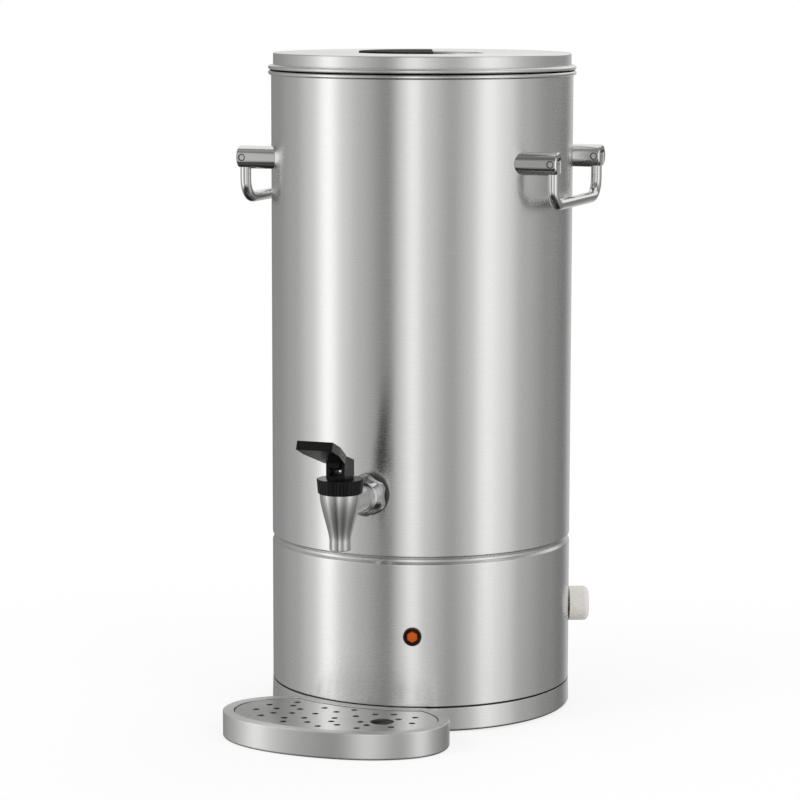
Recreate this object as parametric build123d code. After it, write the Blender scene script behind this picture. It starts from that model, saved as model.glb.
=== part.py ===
from build123d import *
import os
from math import cos, copysign, pi, radians, sin, tan

# Double-walled hot water urn with a spring-closed lever tap, two drop handles, a lift-off lid
# and a drip tray. Millimetres, +Z up. The origin is on the urn's axis at table level. The tap faces -Y,
# and +X is on the right of someone who stands in front of it. Angles round the urn start at the front
# and grow towards +X.

# ---- Clearances ----
move_gap = 0.3  # between pieces that move against each other
seat_gap = 0.05  # between curved faces that bear on each other
pin_gap = 0.15  # round a hinge pin, all the way round
weld_sink = 1.0  # how far a solid starts inside a wall before it is cut to the wall's curve

# ---- Shells ----
body_radius = 112.5
sheet = 1.0
rim_height = 478.25
rim_bead = 1.8  # radius of the rolled edge, on the tank and on the lid
bead_reach = 0.4  # how far the bead's centre stands outside the body
joint_height = 127.7
joint_half = 3.0
joint_depth = 2.0
joint_flat = 0.8
joint_ring_height = 25.0
joint_ring_wall = 1.2
wall_space = 7.5  # from the jacket's outside to the tank's outside
tank_rise = 27.3  # from the jacket's joint up to the tank's floor
tank_radius = body_radius - wall_space
tank_floor = joint_height + tank_rise
tank_corner = 6.0
insulation_gap = 0.3
insulation_ends = 3.0
base_ring_top = 18.7
base_joint_gap = 1.2
base_flare = 0.5
base_corner = 4.0
base_lift = 1.0
base_floor = 3.0
spigot_height = 10.0
spigot_inset = 1.2
foot_inset = 6.7
foot_width = 6.8
foot_outer = body_radius - foot_inset
foot_inner = foot_outer - foot_width

# ---- Base fixings ----
bracket_angles = (20, 140, 260)
bracket_width = 16.0
bracket_wall = 2.0
bracket_foot = 27.0
bracket_gap = 3.5
bracket_web_radius = body_radius - bracket_gap
bracket_foot_inner = bracket_web_radius - bracket_foot
bracket_height = 46.0
bracket_pad_height = 16.0
base_screw_inset = 22.5
base_screw_radius = body_radius - base_screw_inset
m4_shank = 2.0
m4_head = 3.8
m4_head_height = 2.2

# ---- Lid ----
lid_inset = 1.5
lid_wall_radius = body_radius - lid_inset
lid_height = 12.65  # from the bead's lower edge to the flat top
lid_edge = 1.2
lid_turn = 19.9
recess_radius = 48.5
recess_depth = 16.0
recess_edge = 2.5
recess_corner = 5.0
grip_gap = 1.2  # between the grip plate's edge and the recess wall
grip_reach = 8.0  # how far the plate runs past the lid's centre
grip_thickness = 4.0
grip_proud = 1.1
grip_post_radius = 4.5
grip_post_spot = (-28.0, 22.0)
liner_sheet = 0.8
liner_side_gap = 0.7
liner_depth = 12.0
liner_corner = 5.0

# ---- Heating ----
plate_margin = 17.0
plate_radius = tank_radius - plate_margin
plate_thickness = 5.0
element_inset = 22.0
element_radius = plate_radius - element_inset
element_width = 10.0
element_height = 8.0
element_arc = 320.0
leg_radius = 4.0
leg_drop = 38.0
blade_width = 6.3
blade_thickness = 0.8
blade_length = 8.0
shield_inset = 12.5
shield_radius = body_radius - shield_inset
shield_drop = 27.0  # below the tank's floor
shield_height = tank_floor - shield_drop
shield_hole = 20.0
shield_leg_hole = 7.0
shield_tube_hole = 4.0
shield_stud_inset = 21.0
shield_stud_circle = element_radius - shield_stud_inset
shield_stud_angles = (90, 190, 290)
cutout_radius = 8.5
cutout_height = 9.0
cutout_ear = 14.0

# ---- Thermostat ----
knob_angle = 112.0
knob_height = 73.0
knob_radius = 13.0
knob_reach = 15.4
knob_stand_off = 0.8
knob_skirt_bore = 9.5
knob_skirt_depth = 3.8
shaft_radius = 3.0
shaft_flat = 2.2
bushing_radius = 5.0
thermostat_half = 17.0
thermostat_depth = 35.0
bulb_radius = 3.0
bulb_length = 64.0
bulb_inset = 28.0
bulb_offset = bulb_inset - element_radius
capillary_radius = 1.0

# ---- Pilot lamp ----
lamp_angle = 16.4
lamp_height = 72.0
lamp_bezel_radius = 6.75
lamp_lens_radius = 5.15
lamp_neck_radius = 4.9
lamp_length = 28.0

# ---- Cord entry, terminals and wires ----
gland_height = 45.0
gland_flange = 12.0
gland_neck = 7.9
gland_bore = 4.3
gland_length = 18.0
block_shift = -20.0
block_inset = 52.5
block_centre = (block_shift, body_radius - block_inset)
block_pitch = 10.0
block_ways = 5
block_size = (54.0, 18.0, 16.0)
earth_angle = 253.0
earth_inset = 43.5
wire_radius = 1.4
wire_bend = 6.0

# ---- Tap: its own heights are counted from the shank's axis ----
tap_stand_off = 58.5
tap_reach = body_radius + tap_stand_off
shank_radius = 10.0
seal_wall = 5.0
seal_radius = shank_radius + seal_wall
shank_height = tank_floor + tank_corner + seal_radius
shank_bore = 6.0
shank_tail = 16.0  # how far the shank reaches into the tank
spout_end = -30.7
spout_radius = 7.65
spout_bore = 5.0
spout_straight = 6.7
tap_shoulder = 0.2  # of the body above the shank
tap_top = shank_radius + tap_shoulder
tap_top_radius = 14.6
seat_height = -8.0
chamber_radius = 7.5
thread_radius = 11.8
thread_length = 6.3
thread_top = tap_top + thread_length
ring_nut_radius = 16.85
ring_nut_foot_radius = 15.7
ring_nut_height = 10.3
ring_nut_top = tap_top + ring_nut_height
ring_nut_flutes = 36
hub_radius = 9.65
hub_proud = 1.1
tower_width = 14.0
tower_depth = 19.0
tower_rise = 17.0  # over the ring nut
tower_slope = 4.5
tower_top = ring_nut_top + tower_rise
tower_rear_top = tower_top - tower_slope
tower_crest = 4.5  # length of the tower's level top before it slopes down
slot_width = 9.0
slot_rise = 2.8
slot_floor = ring_nut_top + slot_rise
barrel_radius = 7.3
barrel_bore = 5.6
barrel_length = 10.5
barrel_foot = thread_top - barrel_length
spring_seat = 0.5  # over the ring nut's top
spring_top = ring_nut_top + spring_seat
stem_radius = 2.5
cup_radius = 6.0
cup_height = 6.2
seal_thickness = 2.5
collar_radius = 5.2
collar_rise = 1.2
collar_height = barrel_foot + collar_rise
collar_thickness = 1.3
spring_radius = 4.4
spring_wire = 0.5
spring_pitch = 2.2
fork_gap = 0.4
fork_base = slot_floor + fork_gap
fork_base_thickness = 1.2
prong_inner = 2.3
prong_outer = 4.1
nut_wall = 4.0
nut_across_flats = 2 * (shank_radius + nut_wall)
union_nut_length = 13.0
union_nut_lip = 1.0
lock_nut_length = 7.0
outer_seal_thickness = 3.5
inner_seal_thickness = 4.0

# ---- Lever ----
pivot_back = 6.0  # the pivot lies this far in front of the stem
pivot_rise = 7.2  # over the slot's floor
pivot_height = slot_floor + pivot_rise
pivot_pin = 1.5
lever_hub = 3.0
lever_rise = 21.0
lever_swing = 24.0
lever_reach = 50.0  # from the tap's axis to the lever's tip
lever_tip_width = 26.5
lever_tip_length = 15.0
lever_root_width = 14.0
lever_thickness = 6.4
lever_offset = 3.5
lever_rear_gap = 0.8
tongue_half = 2.0
neck_half = 4.2
eye_radius = 2.8
stem_pin = 1.25
eye_clearance = 0.4

# ---- Handles ----
post_drop = 64.35  # below the rim
post_height = rim_height - post_drop
post_spread = 55.3
post_radius = 8.5
post_reach = 11.5
post_tip = body_radius + post_reach
post_chamfer = 0.8
slot_over_rod = 0.4  # room over and behind the bail in its post, whose slot is closed at the top
rod_radius = 4.0
bail_stand_off = 7.0
bail_pivot = body_radius + bail_stand_off
bail_drop = 30.2
bail_bend = 14.0
handle_pin = 2.0
dimple_radius = 2.9

# ---- Drip tray ----
tray_shift = -13.1
tray_stand_off = 34.2
tray_centre = (tray_shift, -body_radius - tray_stand_off)
tray_half_length = 84.8
tray_half_width = 52.3
tray_roundness = 2.14
tray_points = 48
tray_back_gap = 0.5
tray_back_corner = 12.0
tray_height = 19.5
tray_foot_corner = 4.0
tray_foot_lip = 2.0
tray_rim = 8.0
tray_rim_edge = 0.8
ledge_depth = 3.0
ledge_width = 4.0
basin_floor = 2.0
grid_side_gap = 0.5
grid_sheet = 1.0
grid_below_rim = 0.6
grid_lip = 1.1
grid_turn_up = 1.2
finger_hole = 8.5
finger_spot = (38.5, -7.3)  # from the tray's centre
hole_radius = 2.4
hole_margin = 2.0
hole_rings = ((0.79, 13, -7.0), (0.62, 13, 7.0), (0.43, 9, 37.0), (0.2, 4, 10.0))


# ---- Shared helpers ----
def around(angle, radius, height=0.0):
    """Point at an angle round the urn, from the front towards +X."""
    return (radius * sin(radians(angle)), -radius * cos(radians(angle)), height)


def facing(angle, radius, height):
    """Plane on the urn's side whose z points outwards and whose y points up."""
    turn = radians(angle)
    along, out = (cos(turn), sin(turn), 0), (sin(turn), -cos(turn), 0)
    return Plane(around(angle, radius, height), x_dir=along, z_dir=out)


def rod(radius, low, high):
    return Pos(0, 0, (low + high) / 2) * Cylinder(radius, high - low)


def tube(outer, inner, low, high):
    return rod(outer, low, high) - rod(inner, low, high)


def block(x, y, z):
    """Box between two corners, each axis given as (low, high)."""
    size = [high - low for low, high in (x, y, z)]
    middle = [(high + low) / 2 for low, high in (x, y, z)]
    return Pos(*middle) * Box(*size)


def hexagon(across_flats, low, high):
    return Pos(0, 0, low) * extrude(RegularPolygon(across_flats / 2, 6, major_radius=False), high - low)


def turned(*points):
    """Closed outline of (radius, height) points turned about Z."""
    return revolve(Plane.XZ * make_face(Polyline(*points, close=True)), Axis.Z)


def turned_sheet(wall, side, radii, *points):
    """Bent sheet of one thickness turned about Z; the points follow one of its faces."""
    path = FilletPolyline(*points, radius=radii)
    return revolve(Plane.XZ * make_face(offset(path, wall, side=side).edges()), Axis.Z)


def round_rings(part, size, *spots):
    """Fillet the circular edges about Z at the given (radius, height) spots."""
    rings = [
        edge
        for edge in part.edges().filter_by(GeomType.CIRCLE)
        if any(abs(edge.radius - r) < 0.01 and abs(edge.arc_center.Z - z) < 0.01 for r, z in spots)
    ]
    return fillet(rings, size)


def swept_rod(radius, path):
    return sweep(Plane(path @ 0, z_dir=path % 0) * Circle(radius), path=path)


def machine_screw(length, shank=m4_shank, head=m4_head, head_height=m4_head_height):
    """Pan-head screw along -Z with its head's underside at z = 0."""
    slot = block((-head, head), (-0.5, 0.5), (head_height * 0.55, head_height + 1))
    return rod(head, 0, head_height) + rod(shank, -length, 0) - slot


def outside(radius):
    """Solid wall of a given radius, long enough to cut anything against the urn's side."""
    return rod(radius, -10, rim_height + 50)


# ---- Urn shells ----
jacket_inner = body_radius - sheet
tank_inner = tank_radius - sheet
tank_seam = tank_floor + tank_corner
bead_centre = body_radius + bead_reach
joint_radius = body_radius - joint_depth
joint_slope = joint_half - joint_flat
housing_foot = base_ring_top + base_joint_gap
pan_wall_foot = body_radius + base_flare
spigot_radius = body_radius - spigot_inset


def make_outer_jacket():
    top = rim_height - 2 * rim_bead - seat_gap
    shell = turned_sheet(
        sheet,
        Side.RIGHT,
        [1.5, 0.8],
        (body_radius, top),
        (body_radius, joint_height + joint_half),
        (joint_radius, joint_height + joint_flat),
        (joint_radius, joint_height),
    )
    return shell - tap_line * rod(shank_radius + move_gap, 0, body_radius + 20)


def make_lower_housing():
    shell = turned_sheet(
        sheet,
        Side.RIGHT,
        [0.8, 1.5],
        (joint_radius, joint_height),
        (joint_radius, joint_height - joint_flat),
        (body_radius, joint_height - joint_half),
        (body_radius, housing_foot),
    )
    lamp_hole = facing(lamp_angle, body_radius, lamp_height) * rod(lamp_neck_radius + 0.2, -10, 10)
    knob_hole = facing(knob_angle, body_radius, knob_height) * rod(bushing_radius + 0.2, -10, 10)
    gland_hole = facing(180, body_radius, gland_height) * rod(gland_neck + 0.2, -10, 10)
    return shell - lamp_hole - knob_hole - gland_hole


def tank_pot():
    """The tank as one pot: its rolled wall with the rim flange and bead, and its pressed floor."""
    flange = rim_height - move_gap
    shell = turned(
        (0, tank_floor),
        (tank_radius, tank_floor),
        (tank_radius, flange - sheet),
        (bead_centre, flange - sheet),
        (bead_centre, flange),
        (tank_inner, flange),
        (tank_inner, tank_floor + sheet),
        (0, tank_floor + sheet),
    )
    shell = round_rings(shell, tank_corner, (tank_radius, tank_floor))
    shell = round_rings(shell, tank_corner - sheet, (tank_inner, tank_floor + sheet))
    return shell + Pos(0, 0, rim_height - rim_bead) * Torus(bead_centre, rim_bead)


def make_inner_tank():
    wall = tank_pot() - rod(body_radius, tank_floor - 1, tank_seam)
    return wall - tap_line * rod(shank_radius + move_gap, 0, tank_radius + 3)


def make_tank_floor():
    return tank_pot() & rod(body_radius, tank_floor - 1, tank_seam)


def make_joint_ring():
    outer = joint_radius - sheet - seat_gap
    half = joint_ring_height / 2
    return tube(outer, outer - joint_ring_wall, joint_height - half, joint_height + half)


def make_insulation_sleeve():
    low = joint_height + joint_ring_height / 2 + insulation_ends
    high = rim_height - 2 * rim_bead - insulation_ends
    sleeve = tube(jacket_inner - insulation_gap, tank_radius + insulation_gap, low, high)
    return sleeve - tap_line * rod(seal_radius + 2, 0, body_radius)


def make_base_pan():
    floor_top = base_floor + sheet
    step_inner = foot_outer + 0.4
    step_outer = step_inner + 0.4
    shell = turned(
        (0, base_floor),
        (step_inner, base_floor),
        (step_outer, base_lift),
        (pan_wall_foot, base_lift),
        (body_radius + 0.1, base_ring_top),
        (spigot_radius, base_ring_top),
        (spigot_radius, base_ring_top + spigot_height),
        (spigot_radius - sheet, base_ring_top + spigot_height),
        (spigot_radius - sheet, base_ring_top - sheet),
        (pan_wall_foot - 1.05 * sheet, base_lift + sheet),
        (step_outer + sheet, base_lift + sheet),
        (step_inner + sheet, floor_top),
        (0, floor_top),
    )
    shell = round_rings(shell, base_corner, (pan_wall_foot, base_lift))
    shell = round_rings(shell, base_corner - sheet, (pan_wall_foot - 1.05 * sheet, base_lift + sheet))
    screw_hole = rod(m4_shank + 0.2, 0, floor_top + 1)
    for angle in bracket_angles:
        shell -= Pos(*around(angle, base_screw_radius)) * screw_hole
    return shell - Pos(*around(earth_angle, body_radius - earth_inset)) * rod(2.6, 0, floor_top + 1)


def make_foot_ring():
    ring = tube(foot_outer, foot_inner, 0, base_floor)
    return round_rings(ring, 0.8, (foot_outer, 0), (foot_inner, 0))


def make_base_brackets():
    foot = base_floor + sheet
    outline = make_face(
        Polyline(
            (bracket_foot_inner, foot),
            (bracket_web_radius, foot),
            (bracket_web_radius, bracket_height - bracket_pad_height),
            (body_radius, bracket_height - bracket_pad_height + 2),
            (body_radius, bracket_height),
            (body_radius - 4, bracket_height),
            (bracket_web_radius - bracket_wall, bracket_height - bracket_pad_height + 1),
            (bracket_web_radius - bracket_wall, foot + bracket_wall),
            (bracket_foot_inner, foot + bracket_wall),
            close=True,
        )
    )
    strip = extrude(Plane.XZ * outline, bracket_width / 2, both=True)
    strip &= outside(jacket_inner - seat_gap)
    strip -= Pos(base_screw_radius, 0, 0) * rod(m4_shank + seat_gap, 0, foot + 10)
    return Compound([Rot(0, 0, angle - 90) * strip for angle in bracket_angles])


def make_base_screws():
    screw = Pos(0, 0, base_floor) * Rot(180, 0, 0) * machine_screw(9)
    return Compound([Pos(*around(angle, base_screw_radius)) * screw for angle in bracket_angles])


# ---- Lid ----
lid_foot = rim_height + move_gap
lid_top = lid_foot + lid_height
recess_floor = lid_top - recess_depth
lid_frame = Rot(0, 0, lid_turn)
grip_posts = [(grip_post_spot[0], side * grip_post_spot[1]) for side in (-1, 1)]


def make_lid_shell():
    wall_inner = lid_wall_radius - sheet
    shell = turned(
        (0, recess_floor),
        (recess_radius, recess_floor),
        (recess_radius, lid_top),
        (lid_wall_radius, lid_top),
        (lid_wall_radius, lid_foot + rim_bead),
        (bead_centre, lid_foot + rim_bead),
        (bead_centre, lid_foot + rim_bead - sheet),
        (wall_inner, lid_foot + rim_bead - sheet),
        (wall_inner, lid_top - sheet),
        (recess_radius + sheet, lid_top - sheet),
        (recess_radius + sheet, recess_floor - sheet),
        (0, recess_floor - sheet),
    )
    shell = round_rings(shell, recess_edge, (recess_radius, lid_top))
    shell = round_rings(shell, recess_edge - sheet, (recess_radius + sheet, lid_top - sheet))
    shell = round_rings(shell, recess_corner, (recess_radius, recess_floor))
    shell = round_rings(shell, recess_corner + sheet, (recess_radius + sheet, recess_floor - sheet))
    shell = round_rings(shell, lid_edge, (lid_wall_radius, lid_top))
    shell += Pos(0, 0, lid_foot + rim_bead) * Torus(bead_centre, rim_bead)
    for x, y in grip_posts:
        shell -= lid_frame * Pos(x, y, 0) * rod(m4_shank + 0.2, recess_floor - 5, recess_floor + 1)
    return shell


def make_lid_inner_plate():
    outer = tank_inner - liner_side_gap
    return turned_sheet(
        liner_sheet,
        Side.LEFT,
        [liner_corner, 1.0],
        (0, lid_foot - liner_depth),
        (outer, lid_foot - liner_depth),
        (outer, lid_foot),
        (lid_wall_radius - sheet - seat_gap, lid_foot),
    )


def make_lid_grip():
    top = lid_top + grip_proud
    under = top - grip_thickness
    plate = rod(recess_radius - grip_gap, under, top)
    plate &= block((-recess_radius, grip_reach), (-recess_radius, recess_radius), (under, top))
    plate = fillet(plate.edges().group_by(Axis.Z)[-1], 0.9)
    lip = block((grip_reach - 3, grip_reach), (-recess_radius + 8, recess_radius - 8), (under - 2, under))
    plate += fillet(lip.edges().group_by(Axis.Z)[0], 0.9)
    for x, y in grip_posts:
        plate += Pos(x, y, 0) * rod(grip_post_radius, recess_floor, under)
        plate -= Pos(x, y, 0) * rod(m4_shank + seat_gap, recess_floor - 1, recess_floor + 9)
    return lid_frame * plate


def make_lid_grip_screws():
    screw = Pos(0, 0, recess_floor - sheet) * Rot(180, 0, 0) * machine_screw(sheet + 7)
    return lid_frame * Compound([Pos(x, y, 0) * screw for x, y in grip_posts])


# ---- Heating ----
element_top = tank_floor - plate_thickness
element_middle = element_top - element_height / 2
leg_foot = element_middle - leg_drop
leg_angles = [180 + side * (360 - element_arc) / 2 for side in (-1, 1)]


def shield_openings():
    cut = rod(shield_hole, shield_height - 5, shield_height + 5)
    for angle in leg_angles:
        hole = rod(shield_leg_hole, shield_height - 5, shield_height + 5)
        cut += Pos(*around(angle, element_radius)) * hole
    spot = capillary_points[2]
    return cut + Pos(spot[0], spot[1], 0) * rod(shield_tube_hole, shield_height - 5, shield_height + 5)


def make_heater_plate():
    plate = rod(plate_radius, element_top, tank_floor)
    for side in (-1, 1):
        plate -= Pos(side * cutout_ear, 0, 0) * rod(1.5, element_top, element_top + 3.6)
    return plate


def make_heating_element():
    section = RectangleRounded(element_width, element_height, 2)
    section = Plane.XZ * Pos(element_radius, element_middle) * section
    ring = Rot(0, 0, 90 + (360 - element_arc) / 2) * revolve(section, Axis.Z, revolution_arc=element_arc)
    for angle in leg_angles:
        leg = rod(leg_radius, leg_foot, element_middle)
        half = blade_width / 2
        depth = (-blade_thickness / 2, blade_thickness / 2)
        blade = block((-half, half), depth, (leg_foot - blade_length, leg_foot))
        ring += Pos(*around(angle, element_radius)) * (leg + blade)
    return ring


def make_heat_shield():
    disc = rod(shield_radius, shield_height, shield_height + liner_sheet) - shield_openings()
    for angle in shield_stud_angles:
        disc -= Pos(*around(angle, shield_stud_circle)) * rod(m4_shank + 0.2, 0, tank_floor)
    return disc


def make_shield_studs():
    stud = rod(m4_shank + 1.2, shield_height + liner_sheet, element_top)
    stud += rod(m4_shank, shield_height - 5, shield_height + liner_sheet)
    return Compound([Pos(*around(angle, shield_stud_circle)) * stud for angle in shield_stud_angles])


def make_shield_nuts():
    nut = hexagon(7, shield_height - 3.2, shield_height) - rod(m4_shank + seat_gap, 0, tank_floor)
    return Compound([Pos(*around(angle, shield_stud_circle)) * nut for angle in shield_stud_angles])


def make_boil_dry_cutout():
    ear_wall = 1.2
    body = rod(cutout_radius, element_top - cutout_height, element_top)
    ears = SlotCenterToCenter(2 * cutout_ear, 7)
    body += Pos(0, 0, element_top - ear_wall) * extrude(ears, ear_wall)
    body += rod(cutout_radius - 1.5, element_top - cutout_height - 3, element_top - cutout_height)
    for side in (-1, 1):
        body -= Pos(side * cutout_ear, 0, 0) * rod(1.6, 0, tank_floor)
        foot = element_top - cutout_height - 3
        body += block((side * 4.5 - 0.4, side * 4.5 + 0.4), (-3.1, 3.1), (foot - blade_length, foot))
    return body


def make_cutout_screws():
    under_ear = element_top - 1.2
    screw = Pos(0, 0, under_ear) * Rot(180, 0, 0) * machine_screw(4.6, 1.45, 2.6, 1.8)
    return Compound([Pos(side * cutout_ear, 0, 0) * screw for side in (-1, 1)])


# ---- Thermostat ----
knob_line = facing(knob_angle, body_radius, knob_height)
bulb_centre = element_top - bulb_radius - seat_gap
thermostat_front = -3.0
thermostat_back = thermostat_front - thermostat_depth
capillary_top = knob_line.from_local_coords((0, thermostat_half, thermostat_front - thermostat_depth / 2))
capillary_points = [
    (bulb_length / 2, bulb_offset, bulb_centre),
    (bulb_length / 2 + 12, bulb_offset, bulb_centre),
    (bulb_length / 2 + 16, bulb_offset + 12, shield_height),
    (capillary_top.X - 10, capillary_top.Y - 14, shield_height - 18),
    (capillary_top.X, capillary_top.Y, shield_height - 24),
    (capillary_top.X, capillary_top.Y, capillary_top.Z),
]


def make_thermostat_bulb():
    return Plane(origin=(0, bulb_offset, bulb_centre), z_dir=(1, 0, 0)) * rod(
        bulb_radius, -bulb_length / 2, bulb_length / 2
    )


def make_bulb_clip():
    loop = rod(bulb_radius + seat_gap + 0.8, -6, 6) - rod(bulb_radius + seat_gap, -6, 6)
    strap = Plane(origin=(0, bulb_offset, bulb_centre), z_dir=(1, 0, 0)) * loop
    strap -= block((-20, 20), (-80, 0), (element_top - 0.8, element_top + 20))
    for side in (-1, 1):
        near, far = bulb_radius + 0.4, bulb_radius + 8
        y = sorted((bulb_offset + side * near, bulb_offset + side * far))
        strap += block((-6, 6), y, (element_top - 0.8, element_top))
    return strap - make_thermostat_bulb()


def make_thermostat_capillary():
    path = FilletPolyline(*capillary_points, radius=[4, 5, 4, 3])
    return swept_rod(capillary_radius, path)


def make_thermostat_body():
    half = thermostat_half
    body = block((-half, half), (-half, half), (thermostat_back, thermostat_front))
    body = fillet(body.edges().filter_by(Axis.Z), 2)
    body += rod(bushing_radius + 3, thermostat_front, -sheet - 0.4)
    body += rod(bushing_radius, -sheet - 0.4, knob_stand_off + knob_skirt_depth - 0.7)
    body -= rod(shaft_radius + pin_gap, thermostat_back + 15, 10)
    for side in (-1, 1):
        x = side * 8
        body += block((x - 0.4, x + 0.4), (-3.1, 3.1), (thermostat_back - blade_length, thermostat_back))
    return knob_line * body


def make_thermostat_nut():
    return knob_line * (hexagon(14, 0, 3) - rod(bushing_radius + seat_gap, 0, 3))


def shaft_section(radius, flat):
    return make_face(Circle(radius).edges()) & Pos(0, flat - radius) * Rectangle(2 * radius, 2 * radius)


def make_thermostat_shaft():
    low = thermostat_back + 15 + move_gap
    round_part = rod(shaft_radius, low, knob_stand_off + knob_skirt_depth)
    flat_part = extrude(shaft_section(shaft_radius, shaft_flat), 8.5)
    flat_part = Pos(0, 0, knob_stand_off + knob_skirt_depth) * flat_part
    return knob_line * (round_part + flat_part)


def make_thermostat_knob():
    skirt_top = knob_stand_off + knob_skirt_depth
    knob = rod(knob_radius, knob_stand_off, knob_reach)
    knob = fillet(knob.edges().group_by(Axis.Z)[-1], 4.0)
    knob = chamfer(knob.edges().group_by(Axis.Z)[0], 0.4)
    knob -= rod(knob_skirt_bore, knob_stand_off, skirt_top)
    bore = shaft_section(shaft_radius + seat_gap, shaft_flat + seat_gap)
    knob -= Pos(0, 0, skirt_top) * extrude(bore, 8.5 + seat_gap)
    return knob_line * knob


# ---- Pilot lamp ----
lamp_line = facing(lamp_angle, body_radius, lamp_height)


def cut_to_shell(part):
    return part - outside(body_radius + seat_gap)


def make_lamp_bezel():
    ring = tube(lamp_bezel_radius, lamp_lens_radius + seat_gap, -weld_sink, 2.2)
    ring = fillet(ring.edges().group_by(Axis.Z)[-1], 0.4)
    return cut_to_shell(lamp_line * ring)


def make_lamp_lens():
    lens = rod(lamp_lens_radius, 0.3, 2.4)
    return lamp_line * fillet(lens.edges().group_by(Axis.Z)[-1], 0.8)


def make_lamp_holder():
    body = rod(lamp_neck_radius, -lamp_length, 0.3)
    for side in (-1, 1):
        x = side * 2.4
        body += block((x - 0.3, x + 0.3), (-1.4, 1.4), (-lamp_length - blade_length, -lamp_length))
    return lamp_line * body


def make_lamp_nut():
    return lamp_line * (hexagon(15, -5.5, -1.8) - rod(lamp_neck_radius + seat_gap, -6, 0))


# ---- Cord entry, terminals and wires ----
gland_line = facing(180, body_radius, gland_height)
pan_top = base_floor + sheet
earth_spot = around(earth_angle, body_radius - earth_inset)
way_x = [block_centre[0] + block_pitch * (n - (block_ways - 1) / 2) for n in range(block_ways)]
way_height = pan_top + 7.0
wire_hole = 2.0
wire_hole_depth = 5.0
earth_wire = pan_top + 1.0 + wire_radius + 0.02


def make_cord_gland():
    flange = rod(gland_flange, -weld_sink, 6)
    flange = fillet(flange.edges().group_by(Axis.Z)[-1], 1.5)
    collar = cut_to_shell(gland_line * flange)
    nose = Pos(0, 0, 6) * Cone(8.5, 6.5, gland_length - 6, align=(Align.CENTER, Align.CENTER, Align.MIN))
    body = collar + gland_line * (nose + rod(gland_neck, -12, 6))
    return body - gland_line * rod(gland_bore, -13, gland_length + 1)


def make_gland_nut():
    return gland_line * (hexagon(20, -7, -2) - rod(gland_neck + seat_gap, -8, 0))


def make_terminal_block():
    length, width, height = block_size
    x, y = block_centre
    along, across = (x - length / 2, x + length / 2), (y - width / 2, y + width / 2)
    body = block(along, across, (pan_top, pan_top + height))
    for way in way_x:
        for side in (-1, 1):
            mouth = sorted((y + side * (width / 2 - wire_hole_depth), y + side * (width / 2 + 1)))
            body -= Plane(origin=(way, 0, way_height), z_dir=(0, 1, 0)) * rod(wire_hole, *mouth)
            top = pan_top + height
            body -= Pos(way, y + side * 4, 0) * rod(2.2, top - 3, top + 1)
    return body


def make_terminal_clamp_screws():
    top = pan_top + block_size[2]
    screw = rod(2.1, top - 3, top - 0.8) - block((-3, 3), (-0.3, 0.3), (top - 1.6, top))
    return Compound([Pos(way, block_centre[1] + side * 4, 0) * screw for way in way_x for side in (-1, 1)])


def make_earth_terminal():
    stud = rod(2.5, 1.2, pan_top + 12) + rod(4.5, 1.2, base_floor)
    nut = hexagon(8, pan_top + 1.0, pan_top + 5) - rod(2.5 + seat_gap, 0, pan_top + 13)
    tag = tube(7, 2.5 + seat_gap, pan_top, pan_top + 1.0)
    return Pos(*earth_spot) * Compound([stud, nut, tag])


def wire(*points):
    return swept_rod(wire_radius, FilletPolyline(*points, radius=wire_bend))


def make_wiring():
    """Each core runs from a way of the terminal block or a blade to the next blade in the circuit."""
    mouth = block_centre[1] - block_size[1] / 2
    blade_end = thermostat_back - blade_length
    near = knob_line.from_local_coords((-8, 0, blade_end))
    near_in = knob_line.from_local_coords((-8, 0, blade_end - 14))
    far = knob_line.from_local_coords((8, 0, blade_end))
    far_in = knob_line.from_local_coords((8, 0, blade_end - 14))
    cutout_foot = element_top - cutout_height - 3 - blade_length
    leg_a, leg_b = (around(angle, element_radius, leg_foot - blade_length) for angle in leg_angles)
    lamp_a, lamp_b = (lamp_line.from_local_coords((x, 0, -lamp_length - blade_length)) for x in (-2.4, 2.4))
    lamp_turn = -lamp_length - blade_length - 13
    lamp_a_in, lamp_b_in = (lamp_line.from_local_coords((x, 0, lamp_turn)) for x in (-2.4, 2.4))

    def from_way(number, *points):
        start = (way_x[number], mouth + wire_hole_depth, way_height)
        return wire(start, (way_x[number], mouth - 10 - 3 * number, way_height), *points)

    return Compound(
        [
            from_way(4, (34, 22, 40), tuple(far_in), tuple(far)),
            wire(
                tuple(near),
                tuple(near_in),
                (22, -4, 98),
                (4.5, 0, cutout_foot - 14),
                (4.5, 0, cutout_foot),
            ),
            wire(
                (-4.5, 0, cutout_foot),
                (-4.5, 0, cutout_foot - 14),
                (leg_b[0], leg_b[1] - 26, 84),
                (leg_b[0], leg_b[1], leg_b[2] - 16),
                leg_b,
            ),
            from_way(3, (14, 30, 44), (leg_a[0], leg_a[1], 72), leg_a),
            from_way(2, (-30, -20, 30), (-12, -50, 56), tuple(lamp_a_in), tuple(lamp_a)),
            from_way(1, (-38, -24, 22), (-4, -58, 40), tuple(lamp_b_in), tuple(lamp_b)),
            from_way(
                0,
                (earth_spot[0] + 22, earth_spot[1], earth_wire),
                (earth_spot[0] + 4.8, earth_spot[1], earth_wire),
            ),
        ]
    )


# ---- Tap ----
tap_line = Plane(origin=(0, 0, shank_height), x_dir=(1, 0, 0), z_dir=(0, -1, 0))
tap_axis = Pos(0, -tap_reach, shank_height)
shank_end = tank_radius - shank_tail
slot_half = slot_width / 2
tap_nut_face = body_radius + outer_seal_thickness


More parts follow.
